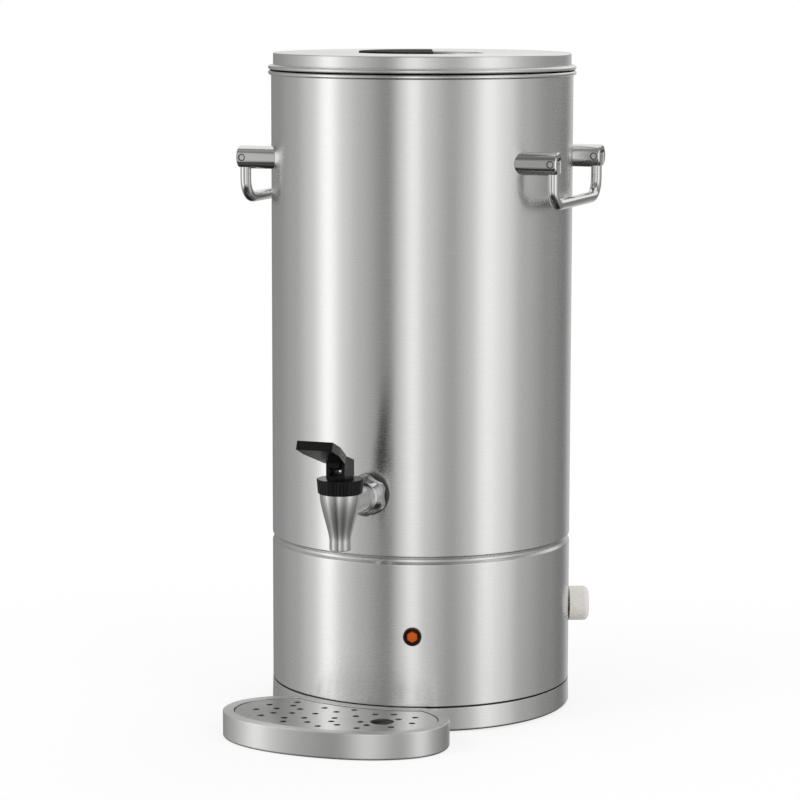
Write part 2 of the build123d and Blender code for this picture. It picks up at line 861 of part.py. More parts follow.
def make_tap_body():
    shoulder = spout_end + spout_straight
    rise = tap_top - shoulder
    flank = Spline(
        (spout_radius, shoulder),
        (spout_radius + 2.95, shoulder + 0.41 * rise),
        (tap_top_radius - 1.5, shoulder + 0.72 * rise),
        (tap_top_radius, tap_top),
        tangents=[(0, 1), (0, 1)],
    )
    foot = (spout_radius, spout_end)
    rest = Polyline((tap_top_radius, tap_top), (0, tap_top), (0, spout_end), foot, flank @ 0)
    body = revolve(Plane.XZ * make_face([*flank.edges(), *rest.edges()]), Axis.Z)
    body = round_rings(body, 0.6, (spout_radius, spout_end))
    body += rod(thread_radius, tap_top - 1, thread_top)
    body = tap_axis * body
    body += tap_line * rod(shank_radius, shank_end, tap_reach)
    body -= tap_axis * rod(chamber_radius, seat_height, thread_top)
    body -= tap_axis * rod(spout_bore, spout_end, seat_height)
    return body - tap_line * rod(shank_bore, shank_end, tap_reach)


def make_tap_union_nut():
    nut = hexagon(nut_across_flats, tap_nut_face, tap_nut_face + union_nut_length)
    crown = Cone(
        nut_across_flats / 2 + 1.3,
        shank_radius + union_nut_lip,
        union_nut_length,
        align=(Align.CENTER, Align.CENTER, Align.MIN),
    )
    nut &= Pos(0, 0, tap_nut_face) * crown
    return tap_line * (nut - rod(shank_radius + seat_gap, 0, 200))


def make_tap_outer_seal():
    washer = tube(seal_radius, shank_radius + seat_gap, body_radius - 2, tap_nut_face)
    return cut_to_shell(tap_line * washer)


def make_tap_spacer():
    washer = tap_line * tube(seal_radius, shank_radius + move_gap, tank_radius - 2, body_radius)
    return (washer & outside(jacket_inner - seat_gap)) - outside(tank_radius + seat_gap)


def make_tap_inner_seal():
    low = tank_inner - inner_seal_thickness
    washer = tap_line * tube(seal_radius, shank_radius + seat_gap, low, tank_inner)
    return washer & outside(tank_inner - seat_gap)


def make_tap_lock_nut():
    high = tank_inner - inner_seal_thickness
    nut = hexagon(nut_across_flats, high - lock_nut_length, high)
    return tap_line * (nut - rod(shank_radius + seat_gap, 0, 200))


def make_tap_ring_nut():
    cone = Pos(0, 0, tap_top) * Cone(
        ring_nut_foot_radius,
        ring_nut_radius,
        ring_nut_top - tap_top,
        align=(Align.CENTER, Align.CENTER, Align.MIN),
    )
    nut = chamfer(cone.edges().group_by(Axis.Z)[-1], 0.5)
    nut = fillet(nut.edges().group_by(Axis.Z)[0], 0.9)
    flute = Pos(ring_nut_radius + 0.15, 0, 0) * rod(0.7, tap_top - 1, ring_nut_top + 1)
    step = 360 / ring_nut_flutes
    nut -= [Rot(0, 0, n * step) * flute for n in range(ring_nut_flutes)]
    nut -= rod(thread_radius + seat_gap, tap_top, thread_top + tower_flange)
    return tap_axis * (nut - rod(hub_radius + seat_gap, tap_top, ring_nut_top + 1))


tower_flange = 1.5


def make_tap_tower():
    hub_top = ring_nut_top + hub_proud
    half_depth = tower_depth / 2
    side = Polyline(
        (-half_depth, hub_top),
        (-half_depth, tower_top - 1.5),
        (-half_depth + 1.5, tower_top),
        (-half_depth + tower_crest, tower_top),
        (half_depth, tower_rear_top),
        (half_depth, hub_top),
        close=True,
    )
    tower = extrude(Plane.YZ * make_face(side), tower_width / 2, both=True)
    tower += rod(hub_radius, thread_top, hub_top) + rod(thread_radius, thread_top, thread_top + tower_flange)
    tower += rod(barrel_radius, barrel_foot, thread_top)
    tower -= rod(barrel_bore, barrel_foot, spring_top)
    tower -= rod(stem_radius + 0.2, barrel_foot, slot_floor)
    tower -= block((-slot_half, slot_half), (-tower_depth, tower_depth), (slot_floor, tower_top + 1))
    tower -= pivot_line * rod(pivot_pin, -tower_width, tower_width)
    return tap_axis * tower


def make_tap_stem_seal():
    return tap_axis * tube(barrel_radius, stem_radius + 0.2, barrel_foot - seal_thickness, barrel_foot)


def make_tap_seat_cup():
    foot = seat_height + move_gap
    cup = rod(cup_radius, foot, foot + cup_height)
    cup = fillet(cup.edges().group_by(Axis.Z)[-1], 1.0)
    return tap_axis * (cup - rod(stem_radius, foot + 2, foot + cup_height))


pivot_line = Plane(origin=(0, -pivot_back, pivot_height), x_dir=(0, 1, 0), z_dir=(1, 0, 0))
stem_pin_height = pivot_height - pivot_back * tan(radians(lever_swing / 2))
stem_pin_line = Plane(origin=(0, 0, stem_pin_height), x_dir=(0, 1, 0), z_dir=(1, 0, 0))


def make_tap_stem():
    stem = rod(stem_radius, seat_height + move_gap + 2, fork_base + 0.5)
    stem += rod(collar_radius, collar_height, collar_height + collar_thickness)
    fork_top = stem_pin_height + 2.6
    fork = block((-prong_outer, prong_outer), (-stem_radius, stem_radius), (fork_base, fork_top))
    gap_floor = fork_base + fork_base_thickness
    fork -= block((-prong_inner, prong_inner), (-stem_radius, stem_radius), (gap_floor, fork_top))
    fork -= stem_pin_line * rod(stem_pin, -prong_outer, prong_outer)
    return tap_axis * (stem + fork)


def make_tap_stem_pin():
    return tap_axis * (stem_pin_line * rod(stem_pin, -prong_outer, prong_outer))


def make_tap_spring():
    low = collar_height + collar_thickness + spring_wire
    high = spring_top - spring_wire
    coil = Helix(spring_pitch, high - low, spring_radius)
    return tap_axis * Pos(0, 0, low) * swept_rod(spring_wire, coil)


def make_tap_lever():
    tip = lever_reach - pivot_back
    rise = radians(lever_rise)
    low = lever_offset - lever_thickness / 2
    tip_reach = tip / cos(rise) + lever_offset * tan(rise)
    half_tip, half_root = lever_tip_width / 2, lever_root_width / 2
    kink = tip_reach - lever_tip_length / cos(rise)
    plan = Polyline(
        (-half_root, 0),
        (-half_tip, -kink),
        (-half_tip, -tip_reach),
        (half_tip, -tip_reach),
        (half_tip, -kink),
        (half_root, 0),
        close=True,
    )
    plate = Pos(0, 0, low) * extrude(make_face(plan), lever_thickness)
    plate = fillet(plate.edges().group_by(Axis.Y)[0], 0.8)
    sloped = Plane(origin=(0, -pivot_back, pivot_height), x_dir=(1, 0, 0), z_dir=(0, sin(rise), cos(rise)))
    rear = -tower_depth / 2 - lever_rear_gap
    lever = (sloped * plate) & block((-40, 40), (-80, rear), (pivot_height - 20, pivot_height + 60))
    neck = block((-neck_half, neck_half), (-12, 0), (-lever_hub, low + lever_thickness))
    neck = (sloped * neck) & block((-40, 40), (rear - 3, -pivot_back), (pivot_height - 20, tower_top - 1))
    lever += neck + pivot_line * rod(lever_hub, -neck_half, neck_half)
    arm = make_hull(
        [
            *(Pos(0, 0) * Circle(lever_hub)).edges(),
            *(Pos(pivot_back, stem_pin_height - pivot_height) * Circle(eye_radius)).edges(),
        ]
    )
    lever += pivot_line * extrude(arm, tongue_half, both=True)
    lever -= pivot_line * rod(pivot_pin + pin_gap, -neck_half, neck_half)
    return tap_axis * (lever - stem_pin_line * rod(stem_pin + eye_clearance, -neck_half, neck_half))


def make_tap_lever_pin():
    return tap_axis * (pivot_line * rod(pivot_pin, -tower_width / 2, tower_width / 2))


# ---- Handles ----
def make_handle_posts(side):
    posts = []
    for y in (-post_spread, post_spread):
        line = Plane(origin=(0, y, post_height), x_dir=(0, side, 0), z_dir=(side, 0, 0))
        post = rod(post_radius, body_radius / 2, post_tip)
        post = chamfer(post.edges().group_by(Axis.Z)[-1], post_chamfer)
        post -= block(
            (-rod_radius - move_gap, rod_radius + move_gap),
            (-post_radius - 1, rod_radius + slot_over_rod),
            (bail_pivot - rod_radius - slot_over_rod, post_tip + 1),
        )
        post = cut_to_shell(line * post)
        pin = Plane(origin=(side * bail_pivot, y, post_height), z_dir=(0, 1, 0))
        post -= pin * rod(handle_pin, -post_radius - 1, post_radius + 1)
        for end in (-1, 1):
            mouth = sorted((end * (post_radius - 0.5), end * (post_radius + 1)))
            post -= pin * rod(dimple_radius, *mouth)
        posts.append(post)
    return Compound(posts)


def make_handle_pins():
    pins = []
    for side in (-1, 1):
        for y in (-post_spread, post_spread):
            line = Plane(origin=(side * bail_pivot, y, post_height), z_dir=(0, 1, 0))
            pins.append(line * rod(handle_pin, -post_radius + 0.7, post_radius - 0.7))
    return Compound(pins)


def make_bail(side):
    low = post_height - bail_drop
    path = FilletPolyline(
        (side * bail_pivot, -post_spread, post_height),
        (side * bail_pivot, -post_spread, low),
        (side * bail_pivot, post_spread, low),
        (side * bail_pivot, post_spread, post_height),
        radius=bail_bend,
    )
    bail = swept_rod(rod_radius, path)
    for y in (-post_spread, post_spread):
        bail += Pos(side * bail_pivot, y, post_height) * Sphere(rod_radius)
    hole = Plane(origin=(side * bail_pivot, 0, post_height), z_dir=(0, 1, 0))
    return bail - hole * rod(handle_pin + pin_gap, -body_radius, body_radius)


# ---- Drip tray ----
tray_back = body_radius + base_flare + tray_back_gap


def tray_outline(inset):
    """The tray's outline drawn in by an inset: a rounded oval with a hollow back that follows the urn."""
    along, across = tray_half_length - inset, tray_half_width - inset
    power = 2 / tray_roundness
    points = []
    for n in range(tray_points):
        turn = 2 * pi * n / tray_points
        x = along * copysign(abs(cos(turn)) ** power, cos(turn))
        y = across * copysign(abs(sin(turn)) ** power, sin(turn))
        points.append((x, y))
    oval = Pos(*tray_centre) * make_face(Spline(*points, periodic=True))
    outline = oval - Circle(tray_back + inset)
    return fillet(outline.vertices(), max(tray_back_corner - inset, 1.5))


def slab(inset, low, high):
    return Pos(0, 0, low) * extrude(tray_outline(inset), high - low)


def make_drip_tray():
    ledge_top = tray_height - ledge_depth
    basin = tray_rim + ledge_width
    skirt = slab(0, 0, tray_height)
    skirt = fillet(skirt.edges().group_by(Axis.Z)[0], tray_foot_corner)
    skirt = fillet(skirt.edges().group_by(Axis.Z)[-1], tray_rim_edge)
    hollow = slab(sheet, sheet, tray_height - sheet)
    skirt -= fillet(hollow.edges().group_by(Axis.Z)[0], tray_foot_corner - sheet)
    skirt -= slab(tray_foot_corner + tray_foot_lip, -1, tray_height + 1)
    rim = slab(tray_foot_corner, tray_height - sheet, tray_height)
    rim += slab(tray_rim - sheet, ledge_top - sheet, tray_height)
    pan = rim + slab(basin - sheet, basin_floor, ledge_top)
    pan -= slab(tray_rim, ledge_top, tray_height + 1)
    return skirt + (pan - slab(basin, basin_floor + sheet, tray_height))


def make_drip_grid():
    top = tray_height - grid_below_rim
    edge = tray_rim + grid_side_gap
    plate = slab(edge, top - grid_sheet - grid_lip, top)
    plate -= slab(edge + grid_turn_up, top - grid_sheet - grid_lip - 1, top - grid_sheet)
    drain = rod(hole_radius, top - grid_sheet - 1, top + 1)
    along = tray_half_length - tray_rim
    across = tray_half_width - tray_rim
    finger = Vector(*tray_centre) + Vector(*finger_spot)
    spots = []
    for share, count, start in hole_rings:
        for n in range(count):
            turn = radians(start + 360 * n / count)
            spot = Vector(
                tray_centre[0] + share * along * cos(turn),
                tray_centre[1] + share * across * sin(turn),
            )
            clear_of_finger = (spot - finger).length > finger_hole + hole_radius + hole_margin
            clear_of_back = spot.length > tray_back + edge + grid_turn_up + hole_radius + hole_margin
            if clear_of_finger and clear_of_back:
                spots.append(spot)
    plate -= [Pos(*spot) * drain for spot in spots]
    return plate - Pos(*finger) * rod(finger_hole, top - grid_sheet - 1, top + 1)


# ---- Write one file per sub-part ----
parts = {
    "lid_shell": make_lid_shell,
    "lid_inner_plate": make_lid_inner_plate,
    "lid_grip": make_lid_grip,
    "lid_grip_screws": make_lid_grip_screws,
    "outer_jacket": make_outer_jacket,
    "inner_tank": make_inner_tank,
    "tank_floor": make_tank_floor,
    "insulation_sleeve": make_insulation_sleeve,
    "joint_ring": make_joint_ring,
    "lower_housing": make_lower_housing,
    "base_pan": make_base_pan,
    "foot_ring": make_foot_ring,
    "base_brackets": make_base_brackets,
    "base_screws": make_base_screws,
    "heater_plate": make_heater_plate,
    "heating_element": make_heating_element,
    "heat_shield": make_heat_shield,
    "shield_studs": make_shield_studs,
    "shield_nuts": make_shield_nuts,
    "boil_dry_cutout": make_boil_dry_cutout,
    "cutout_screws": make_cutout_screws,
    "thermostat_bulb": make_thermostat_bulb,
    "bulb_clip": make_bulb_clip,
    "thermostat_capillary": make_thermostat_capillary,
    "thermostat_body": make_thermostat_body,
    "thermostat_nut": make_thermostat_nut,
    "thermostat_shaft": make_thermostat_shaft,
    "thermostat_knob": make_thermostat_knob,
    "lamp_bezel": make_lamp_bezel,
    "lamp_lens": make_lamp_lens,
    "lamp_holder": make_lamp_holder,
    "lamp_nut": make_lamp_nut,
    "cord_gland": make_cord_gland,
    "gland_nut": make_gland_nut,
    "terminal_block": make_terminal_block,
    "terminal_clamp_screws": make_terminal_clamp_screws,
    "earth_terminal": make_earth_terminal,
    "wiring": make_wiring,
    "tap_body": make_tap_body,
    "tap_union_nut": make_tap_union_nut,
    "tap_outer_seal": make_tap_outer_seal,
    "tap_spacer": make_tap_spacer,
    "tap_inner_seal": make_tap_inner_seal,
    "tap_lock_nut": make_tap_lock_nut,
    "tap_ring_nut": make_tap_ring_nut,
    "tap_tower": make_tap_tower,
    "tap_stem_seal": make_tap_stem_seal,
    "tap_stem": make_tap_stem,
    "tap_stem_pin": make_tap_stem_pin,
    "tap_seat_cup": make_tap_seat_cup,
    "tap_spring": make_tap_spring,
    "tap_lever": make_tap_lever,
    "tap_lever_pin": make_tap_lever_pin,
    "left_handle_posts": lambda: make_handle_posts(-1),
    "right_handle_posts": lambda: make_handle_posts(1),
    "handle_pins": make_handle_pins,
    "left_bail": lambda: make_bail(-1),
    "right_bail": lambda: make_bail(1),
    "drip_tray": make_drip_tray,
    "drip_grid": make_drip_grid,
}

os.makedirs("parts", exist_ok=True)
for node, make in parts.items():
    export_step(make(), f"parts/{node}.step")
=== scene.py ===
from math import atan2, copysign, cos, pi, radians, sin, tan

import bmesh
import bpy
from mathutils import Matrix, Vector
from mathutils.geometry import interpolate_bezier


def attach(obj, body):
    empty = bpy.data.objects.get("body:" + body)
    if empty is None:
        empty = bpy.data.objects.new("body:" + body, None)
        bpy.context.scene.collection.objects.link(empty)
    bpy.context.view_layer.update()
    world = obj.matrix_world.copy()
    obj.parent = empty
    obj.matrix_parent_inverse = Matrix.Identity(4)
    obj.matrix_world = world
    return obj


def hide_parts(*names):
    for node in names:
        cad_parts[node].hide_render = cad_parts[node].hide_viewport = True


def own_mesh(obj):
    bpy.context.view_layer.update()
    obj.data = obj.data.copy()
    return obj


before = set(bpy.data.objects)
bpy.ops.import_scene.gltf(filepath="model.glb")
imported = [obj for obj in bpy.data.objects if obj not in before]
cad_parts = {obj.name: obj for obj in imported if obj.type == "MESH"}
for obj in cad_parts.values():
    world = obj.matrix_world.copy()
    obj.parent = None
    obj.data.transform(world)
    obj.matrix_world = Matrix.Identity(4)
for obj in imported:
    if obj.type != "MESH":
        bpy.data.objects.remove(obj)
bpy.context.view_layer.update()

# ---- Foot ring and base pan ----
# The urn stands on a moulded rubber ring that is pressed into the step of a spun stainless pan.
# The pan's wall is brushed round and ends in a spigot that the housing slides over.
MM = 0.001


def eased(corners, closed=True):
    """Points (radius, height) of a section, with an arc at each corner that states a third number.

    A long straight run gets a point close to each of its ends, which keeps the shading beside it even.
    """
    arc_step = radians(12)
    long_run, end_gap = 3, 0.4
    points = []
    count = len(corners)
    for n, corner in enumerate(corners):
        here = Vector(corner[:2])
        if len(corner) < 3:
            points.append(here)
            continue
        back = (Vector(corners[n - 1][:2]) - here).normalized()
        ahead = (Vector(corners[(n + 1) % count][:2]) - here).normalized()
        half = back.angle(ahead) / 2
        centre = here + (back + ahead).normalized() * corner[2] / sin(half)
        first = here + back * corner[2] / tan(half) - centre
        last = here + ahead * corner[2] / tan(half) - centre
        turn = first.angle(last)
        steps = max(3, round(turn / arc_step))
        for k in range(steps + 1):
            share = k / steps
            arm = first * sin((1 - share) * turn) + last * sin(share * turn)
            points.append(centre + arm / sin(turn))
    held = []
    for n, point in enumerate(points):
        held.append(point)
        after = points[(n + 1) % len(points)]
        if (after - point).length > long_run and (closed or n + 1 < len(points)):
            step = (after - point).normalized() * end_gap
            held += [point + step, after - step]
    return held


def stood(name, data):
    """An object in the scene with this mesh, lamp or camera."""
    piece = bpy.data.objects.new(name, data)
    bpy.context.scene.collection.objects.link(piece)
    return piece


def finished(name, shape, place=None, sharp=32):
    """Turns a shape into a piece with its normals outwards, smooth but for its real edges."""
    bmesh.ops.remove_doubles(shape, verts=shape.verts, dist=1e-7)
    bmesh.ops.recalc_face_normals(shape, faces=shape.faces)
    if place:
        shape.transform(place)
    mesh = bpy.data.meshes.new(name)
    shape.to_mesh(mesh)
    shape.free()
    mesh.shade_smooth()
    mesh.set_sharp_from_angle(angle=radians(sharp))
    return stood(name, mesh)


def spun(name, section, turns, place=None, limit=None):
    """A closed section in millimetres spun about the upright axis; limit(angle) cuts its radius back."""
    shape = bmesh.new()
    rings = []
    for radius, height in section:
        if radius < 1e-4:
            rings.append([shape.verts.new((0, 0, height * MM))] * turns)
            continue
        ring = []
        for k in range(turns):
            angle = 2 * pi * k / turns
            reach = min(radius, limit(angle)) if limit else radius
            spot = (reach * MM * cos(angle), reach * MM * sin(angle), height * MM)
            ring.append(shape.verts.new(spot))
        rings.append(ring)
    for n, ring in enumerate(rings):
        after = rings[(n + 1) % len(rings)]
        for k in range(turns):
            m = (k + 1) % turns
            corners = dict.fromkeys((ring[k], ring[m], after[m], after[k]))
            if len(corners) > 2:
                shape.faces.new(corners)
    return finished(name, shape, place)


def add(tree, kind, sockets=None, **settings):
    """A node with its settings, and its sockets set to a value or joined to another node."""
    node = tree.nodes.new(kind)
    for name, value in settings.items():
        setattr(node, name, value)
    for name, value in (sockets or {}).items():
        if isinstance(value, bpy.types.NodeSocket):
            tree.links.new(value, node.inputs[name])
        else:
            node.inputs[name].default_value = value
    return node


def sums(tree, operation, *values):
    """The outcome of one sum on values or sockets."""
    return add(tree, "ShaderNodeMath", dict(enumerate(values)), operation=operation).outputs[0]


def spread(tree, value, low, high, start=0.3, end=0.7):
    """A value drawn out from start..end to low..high."""
    sockets = {"Value": value, "From Min": start, "From Max": end, "To Min": low, "To Max": high}
    return add(tree, "ShaderNodeMapRange", sockets).outputs["Result"]


def speckle(tree, place, scale, detail=3.0):
    """Fine noise; scale is in spots to the metre."""
    sockets = {"Vector": place, "Scale": scale, "Detail": detail}
    return add(tree, "ShaderNodeTexNoise", sockets).outputs["Fac"]


def tint(tree, share, first, last):
    """A colour between two, by share."""
    mix = add(tree, "ShaderNodeMix", {0: share, 6: (*first, 1), 7: (*last, 1)}, data_type="RGBA")
    return mix.outputs[2]


def bare_tree(owner):
    """The empty shader tree of a material or of the air."""
    owner.use_nodes = True
    owner.node_tree.nodes.clear()
    return owner.node_tree


def new_finish(name, look):
    """A material with one shader, and the object's own coordinates in metres."""
    material = bpy.data.materials.new(name)
    tree = bare_tree(material)
    shader = add(tree, "ShaderNodeBsdfPrincipled", look)
    add(tree, "ShaderNodeOutputMaterial", {"Surface": shader.outputs["BSDF"]})
    place = add(tree, "ShaderNodeTexCoord").outputs["Object"]
    return material, tree, shader, place


def relief(tree, shader, height, distance, strength=1.0):
    """Fine ups and downs of the surface; distance is in metres."""
    bump = add(tree, "ShaderNodeBump", {"Height": height, "Distance": distance, "Strength": strength})
    tree.links.new(bump.outputs["Normal"], shader.inputs["Normal"])


def painted_shade(tree, colour, share, shadow=(0.012, 0.012, 0.012)):
    """A colour with painted shade: it goes nearly black by share, as in a groove where no light gets in."""
    mix = add(tree, "ShaderNodeMix", {0: share, 6: colour, 7: (*shadow, 1)}, data_type="RGBA")
    return mix.outputs[2]


def brushed_steel(name, colour, roughness, centre=(0, 0), streak=0.015, pull=0.8, groove=None,
                  dull_within=None):
    """Stainless steel brushed in rings about an upright line through centre.

    groove is the height and width, in millimetres, of a line of painted shade where a joint's crevice lies.
    Within the radius dull_within the steel scatters part of the light.
    """
    across_grain, along_grain = 2200.0, 9.0
    look = {"Metallic": 1.0, "Anisotropic": pull, "Anisotropic Rotation": 0.25}
    material, tree, shader, place = new_finish(name, look)
    tangent = add(tree, "ShaderNodeTangent", direction_type="RADIAL", axis="Z")
    tree.links.new(tangent.outputs["Tangent"], shader.inputs["Tangent"])
    shift = (-centre[0] * MM, -centre[1] * MM, 0)
    local = add(tree, "ShaderNodeMapping", {"Vector": place, "Location": shift}).outputs["Vector"]
    split = add(tree, "ShaderNodeSeparateXYZ", {"Vector": local})
    x, y, z = split.outputs
    flat = add(tree, "ShaderNodeCombineXYZ", {"X": x, "Y": y}).outputs["Vector"]
    radius = add(tree, "ShaderNodeVectorMath", {0: flat}, operation="LENGTH").outputs["Value"]
    turn = sums(tree, "ARCTAN2", x, sums(tree, "MULTIPLY", y, -1.0))
    lay = {
        "X": sums(tree, "MULTIPLY", turn, along_grain),
        "Y": sums(tree, "MULTIPLY", radius, across_grain),
        "Z": sums(tree, "MULTIPLY", z, across_grain),
    }
    lines = speckle(tree, add(tree, "ShaderNodeCombineXYZ", lay).outputs["Vector"], 1.0, 2.0)
    broad = speckle(tree, place, 9.0, 1.0)
    tone = sums(tree, "ADD", spread(tree, lines, 0.0, 0.8), spread(tree, broad, 0.0, 0.2))
    dark = tuple(c * (1 - streak) for c in colour)
    light = tuple(min(1.0, c * (1 + streak)) for c in colour)
    steel = tint(tree, tone, dark, light)
    # The groove attribute and the groove line both paint shade into the steel's colour, nearly black in
    # crevices.
    shade = add(tree, "ShaderNodeAttribute", attribute_name="groove").outputs["Fac"]
    if groove:
        shade_height, shade_width = groove
        away = sums(tree, "ABSOLUTE", sums(tree, "SUBTRACT", z, shade_height * MM))
        near = spread(tree, away, 1.0, 0.0, shade_width * 0.5 * MM, shade_width * MM)
        shade = sums(tree, "MAXIMUM", shade, near)
    tree.links.new(painted_shade(tree, steel, shade), shader.inputs["Base Color"])
    fine_rough = spread(tree, lines, roughness - 0.02, roughness + 0.02)
    broad_rough = spread(tree, broad, -0.005, 0.005)
    tree.links.new(sums(tree, "ADD", fine_rough, broad_rough), shader.inputs["Roughness"])
    if dull_within:
        metal = spread(tree, radius, 0.55, 1.0, dull_within * MM, (dull_within + 1) * MM)
        tree.links.new(metal, shader.inputs["Metallic"])
    groove_depth = 0.005 * MM
    relief(tree, shader, lines, groove_depth, 0.1)
    return material


def soft_moulding(name, dark, light, roughness, pores=2600.0, depth=0.03, shine=0.5):
    """Rubber or plastic with a fine moulded skin, depth millimetres deep, and a slow change of tone."""
    material, tree, shader, place = new_finish(name, {"Specular IOR Level": shine})
    skin = speckle(tree, place, pores, 2.0)
    broad = speckle(tree, place, 60.0)
    tone = sums(tree, "ADD", spread(tree, skin, 0.0, 0.4), spread(tree, broad, 0.0, 0.6))
    tree.links.new(tint(tree, tone, dark, light), shader.inputs["Base Color"])
    rough = spread(tree, broad, roughness - 0.05, roughness + 0.05)
    tree.links.new(rough, shader.inputs["Roughness"])
    relief(tree, shader, skin, depth * MM, 0.4)
    return material


def paint(material, *nodes):
    """Gives carried-over nodes their finish."""
    for node in nodes:
        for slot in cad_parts[node].material_slots:
            slot.material = material


def hand_over(piece, material, body, slot, *nodes):
    """Finishes a piece: its material, the body it rides on and the nodes it stands for; slot is not used."""
    if material:
        piece.data.materials.clear()
        piece.data.materials.append(material)
    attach(piece, body)
    if nodes:
        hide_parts(*nodes)
    return piece


# Painted shade: the shell steel goes nearly black along the gap between the pan and the housing.
housing_gap_shade = (19.3, 0.9)
shell_steel = brushed_steel("brushed_shell_steel", (0.72, 0.72, 0.71), 0.27, groove=housing_gap_shade)
rubber = soft_moulding("black_rubber", (0.028, 0.028, 0.028), (0.05, 0.05, 0.05), 0.75)
paint(rubber, "foot_ring")
pan_section = eased([
    (0, 3), (106.2, 3), (106.6, 1), (113, 1, 1.8), (112.6, 18.7, 0.6), (111.3, 18.7), (111.3, 28.7),
    (110.3, 28.7), (110.3, 17.7), (111.95, 17.7, 0.4), (111.95, 2, 3), (107.6, 2), (107.2, 4), (0, 4),
])
body_turns = 160
base_pan = spun("base_pan_spun", pan_section, body_turns)
hand_over(base_pan, shell_steel, "urn", "brushed_steel", "base_pan")

# ---- Brackets, screws and nuts ----
# Bent strips of zinc-plated steel hold the housing to the pan, and the heat shield stands on studs.
# They are pressed and cut from sheet and bar, and hardly finished, so the plating shows a dull bloom.


def plated_metal(name, dark, light, roughness, scale=120.0):
    """Bare or plated metal with a cloudy bloom."""
    material, tree, shader, place = new_finish(name, {"Metallic": 1.0})
    cloud = speckle(tree, place, scale, 5.0)
    bloom = tint(tree, spread(tree, cloud, 0.0, 1.0), dark, light)
    tree.links.new(bloom, shader.inputs["Base Color"])
    rough = spread(tree, cloud, roughness + 0.08, roughness - 0.06)
    tree.links.new(rough, shader.inputs["Roughness"])
    relief(tree, shader, speckle(tree, place, scale * 12), 0.02 * MM, 0.3)
    return material


zinc = plated_metal("zinc_plated_steel", (0.50, 0.51, 0.53), (0.68, 0.69, 0.70), 0.36)
bright_screws = plated_metal("bright_fasteners", (0.58, 0.58, 0.58), (0.74, 0.74, 0.74), 0.28, 400.0)
paint(zinc, "base_brackets", "heat_shield", "bulb_clip", "thermostat_body")
paint(
    bright_screws, "base_screws", "shield_studs", "shield_nuts", "cutout_screws", "thermostat_nut",
    "thermostat_shaft", "terminal_clamp_screws", "lid_grip_screws",
)
dark_steel = plated_metal("dark_tempered_steel", (0.05, 0.05, 0.05), (0.11, 0.11, 0.11), 0.4)
paint(dark_steel, "tap_stem", "tap_stem_pin", "tap_lever_pin")

# ---- Heater, sensor and cut-out ----
# A cast aluminium plate with a sheathed element is pressed to the tank's floor. A copper bulb and its thin
# tube run to the thermostat, and a ceramic-bodied cut-out stops the heater when the tank boils dry.
cast_aluminium = plated_metal("cast_aluminium", (0.55, 0.55, 0.55), (0.74, 0.74, 0.73), 0.5, 220.0)
heater_sheath = plated_metal("heat_stained_sheath", (0.24, 0.20, 0.17), (0.46, 0.43, 0.40), 0.42, 70.0)
copper = plated_metal("drawn_copper", (0.60, 0.33, 0.20), (0.78, 0.50, 0.34), 0.32, 150.0)
brass = plated_metal("turned_brass", (0.66, 0.50, 0.22), (0.82, 0.67, 0.36), 0.3, 200.0)
ceramic = soft_moulding("fired_ceramic", (0.78, 0.75, 0.67), (0.89, 0.87, 0.81), 0.55, 1500.0)
paint(cast_aluminium, "heater_plate")
paint(heater_sheath, "heating_element")
paint(copper, "thermostat_bulb", "thermostat_capillary")
paint(brass, "earth_terminal")
paint(ceramic, "boil_dry_cutout")

# ---- Terminals and wires ----
# The supply lands on a moulded block of screw terminals beside the cord gland.
# Silicone-covered wires run from it to the heater, the thermostat, the cut-out and the lamp.
pale_nylon = soft_moulding("pale_nylon", (0.74, 0.73, 0.68), (0.86, 0.85, 0.80), 0.5)
wire_cover = soft_moulding("silicone_wire_cover", (0.19, 0.19, 0.20), (0.30, 0.30, 0.31), 0.6, 1800.0)
paint(pale_nylon, "terminal_block", "lamp_holder", "lamp_nut", "tap_spacer")
paint(wire_cover, "wiring")

# ---- Lower housing ----
# The housing is a rolled band of brushed stainless sheet with a stepped-in upper edge.
# It stands a hair above the pan, with painted shade along the thin dark line of that gap, and carries the
# lamp and the knob.
body_radius, pinch_radius, sheet = 112.5, 110.5, 1.0
joint, joint_flat, joint_slope = 127.7, 0.8, 3.0
housing_section = eased([
    (pinch_radius, joint), (pinch_radius, joint - joint_flat, 0.8), (body_radius, joint - joint_slope, 1.5),
    (body_radius, 19.9), (body_radius - sheet, 19.9), (body_radius - sheet, 125.1),
    (pinch_radius - sheet, 127.3), (pinch_radius - sheet, joint),
])
lower_housing = spun("lower_housing_band", housing_section, body_turns)
hand_over(lower_housing, shell_steel, "urn", "brushed_steel", "lower_housing")
paint(shell_steel, "joint_ring")

# ---- Pilot lamp ----
# A neon lamp with a ribbed amber lens sits in a dark moulded ring, pushed through the housing from outside.
# The lens's colour holds a painted glow in a six-sided patch over the lamp, with painted light and dark bands
# along its ribs, and is dark red where it meets the ring.


def facing(angle, height):
    """Place on the urn's side whose third axis points outwards and whose second points up."""
    turn = radians(angle)
    out = Vector((sin(turn), -cos(turn), 0))
    right = Vector((cos(turn), sin(turn), 0))
    place = Matrix((right, Vector((0, 0, 1)), out)).transposed().to_4x4()
    place.translation = (out * body_radius + Vector((0, 0, height))) * MM
    return place


lamp_place = facing(16.4, 72)
black_gloss = soft_moulding(
    "black_moulded_plastic", (0.0035, 0.0035, 0.004), (0.007, 0.007, 0.008), 0.22, depth=0.01, shine=0.18,
)
small_turns = 96
bezel_section = eased([(5.2, -0.6), (5.2, 1.4, 0.4), (5.9, 2.2, 0.3), (6.75, 2.2, 0.7), (6.75, -0.6)])
lamp_bezel = spun("lamp_ring", bezel_section, small_turns, lamp_place)
lamp_ring_plastic = soft_moulding(
    "dark_lamp_ring", (0.010, 0.004, 0.003), (0.018, 0.007, 0.005), 0.3, shine=0.35,
)
hand_over(lamp_bezel, lamp_ring_plastic, "urn", "black_plastic", "lamp_bezel")

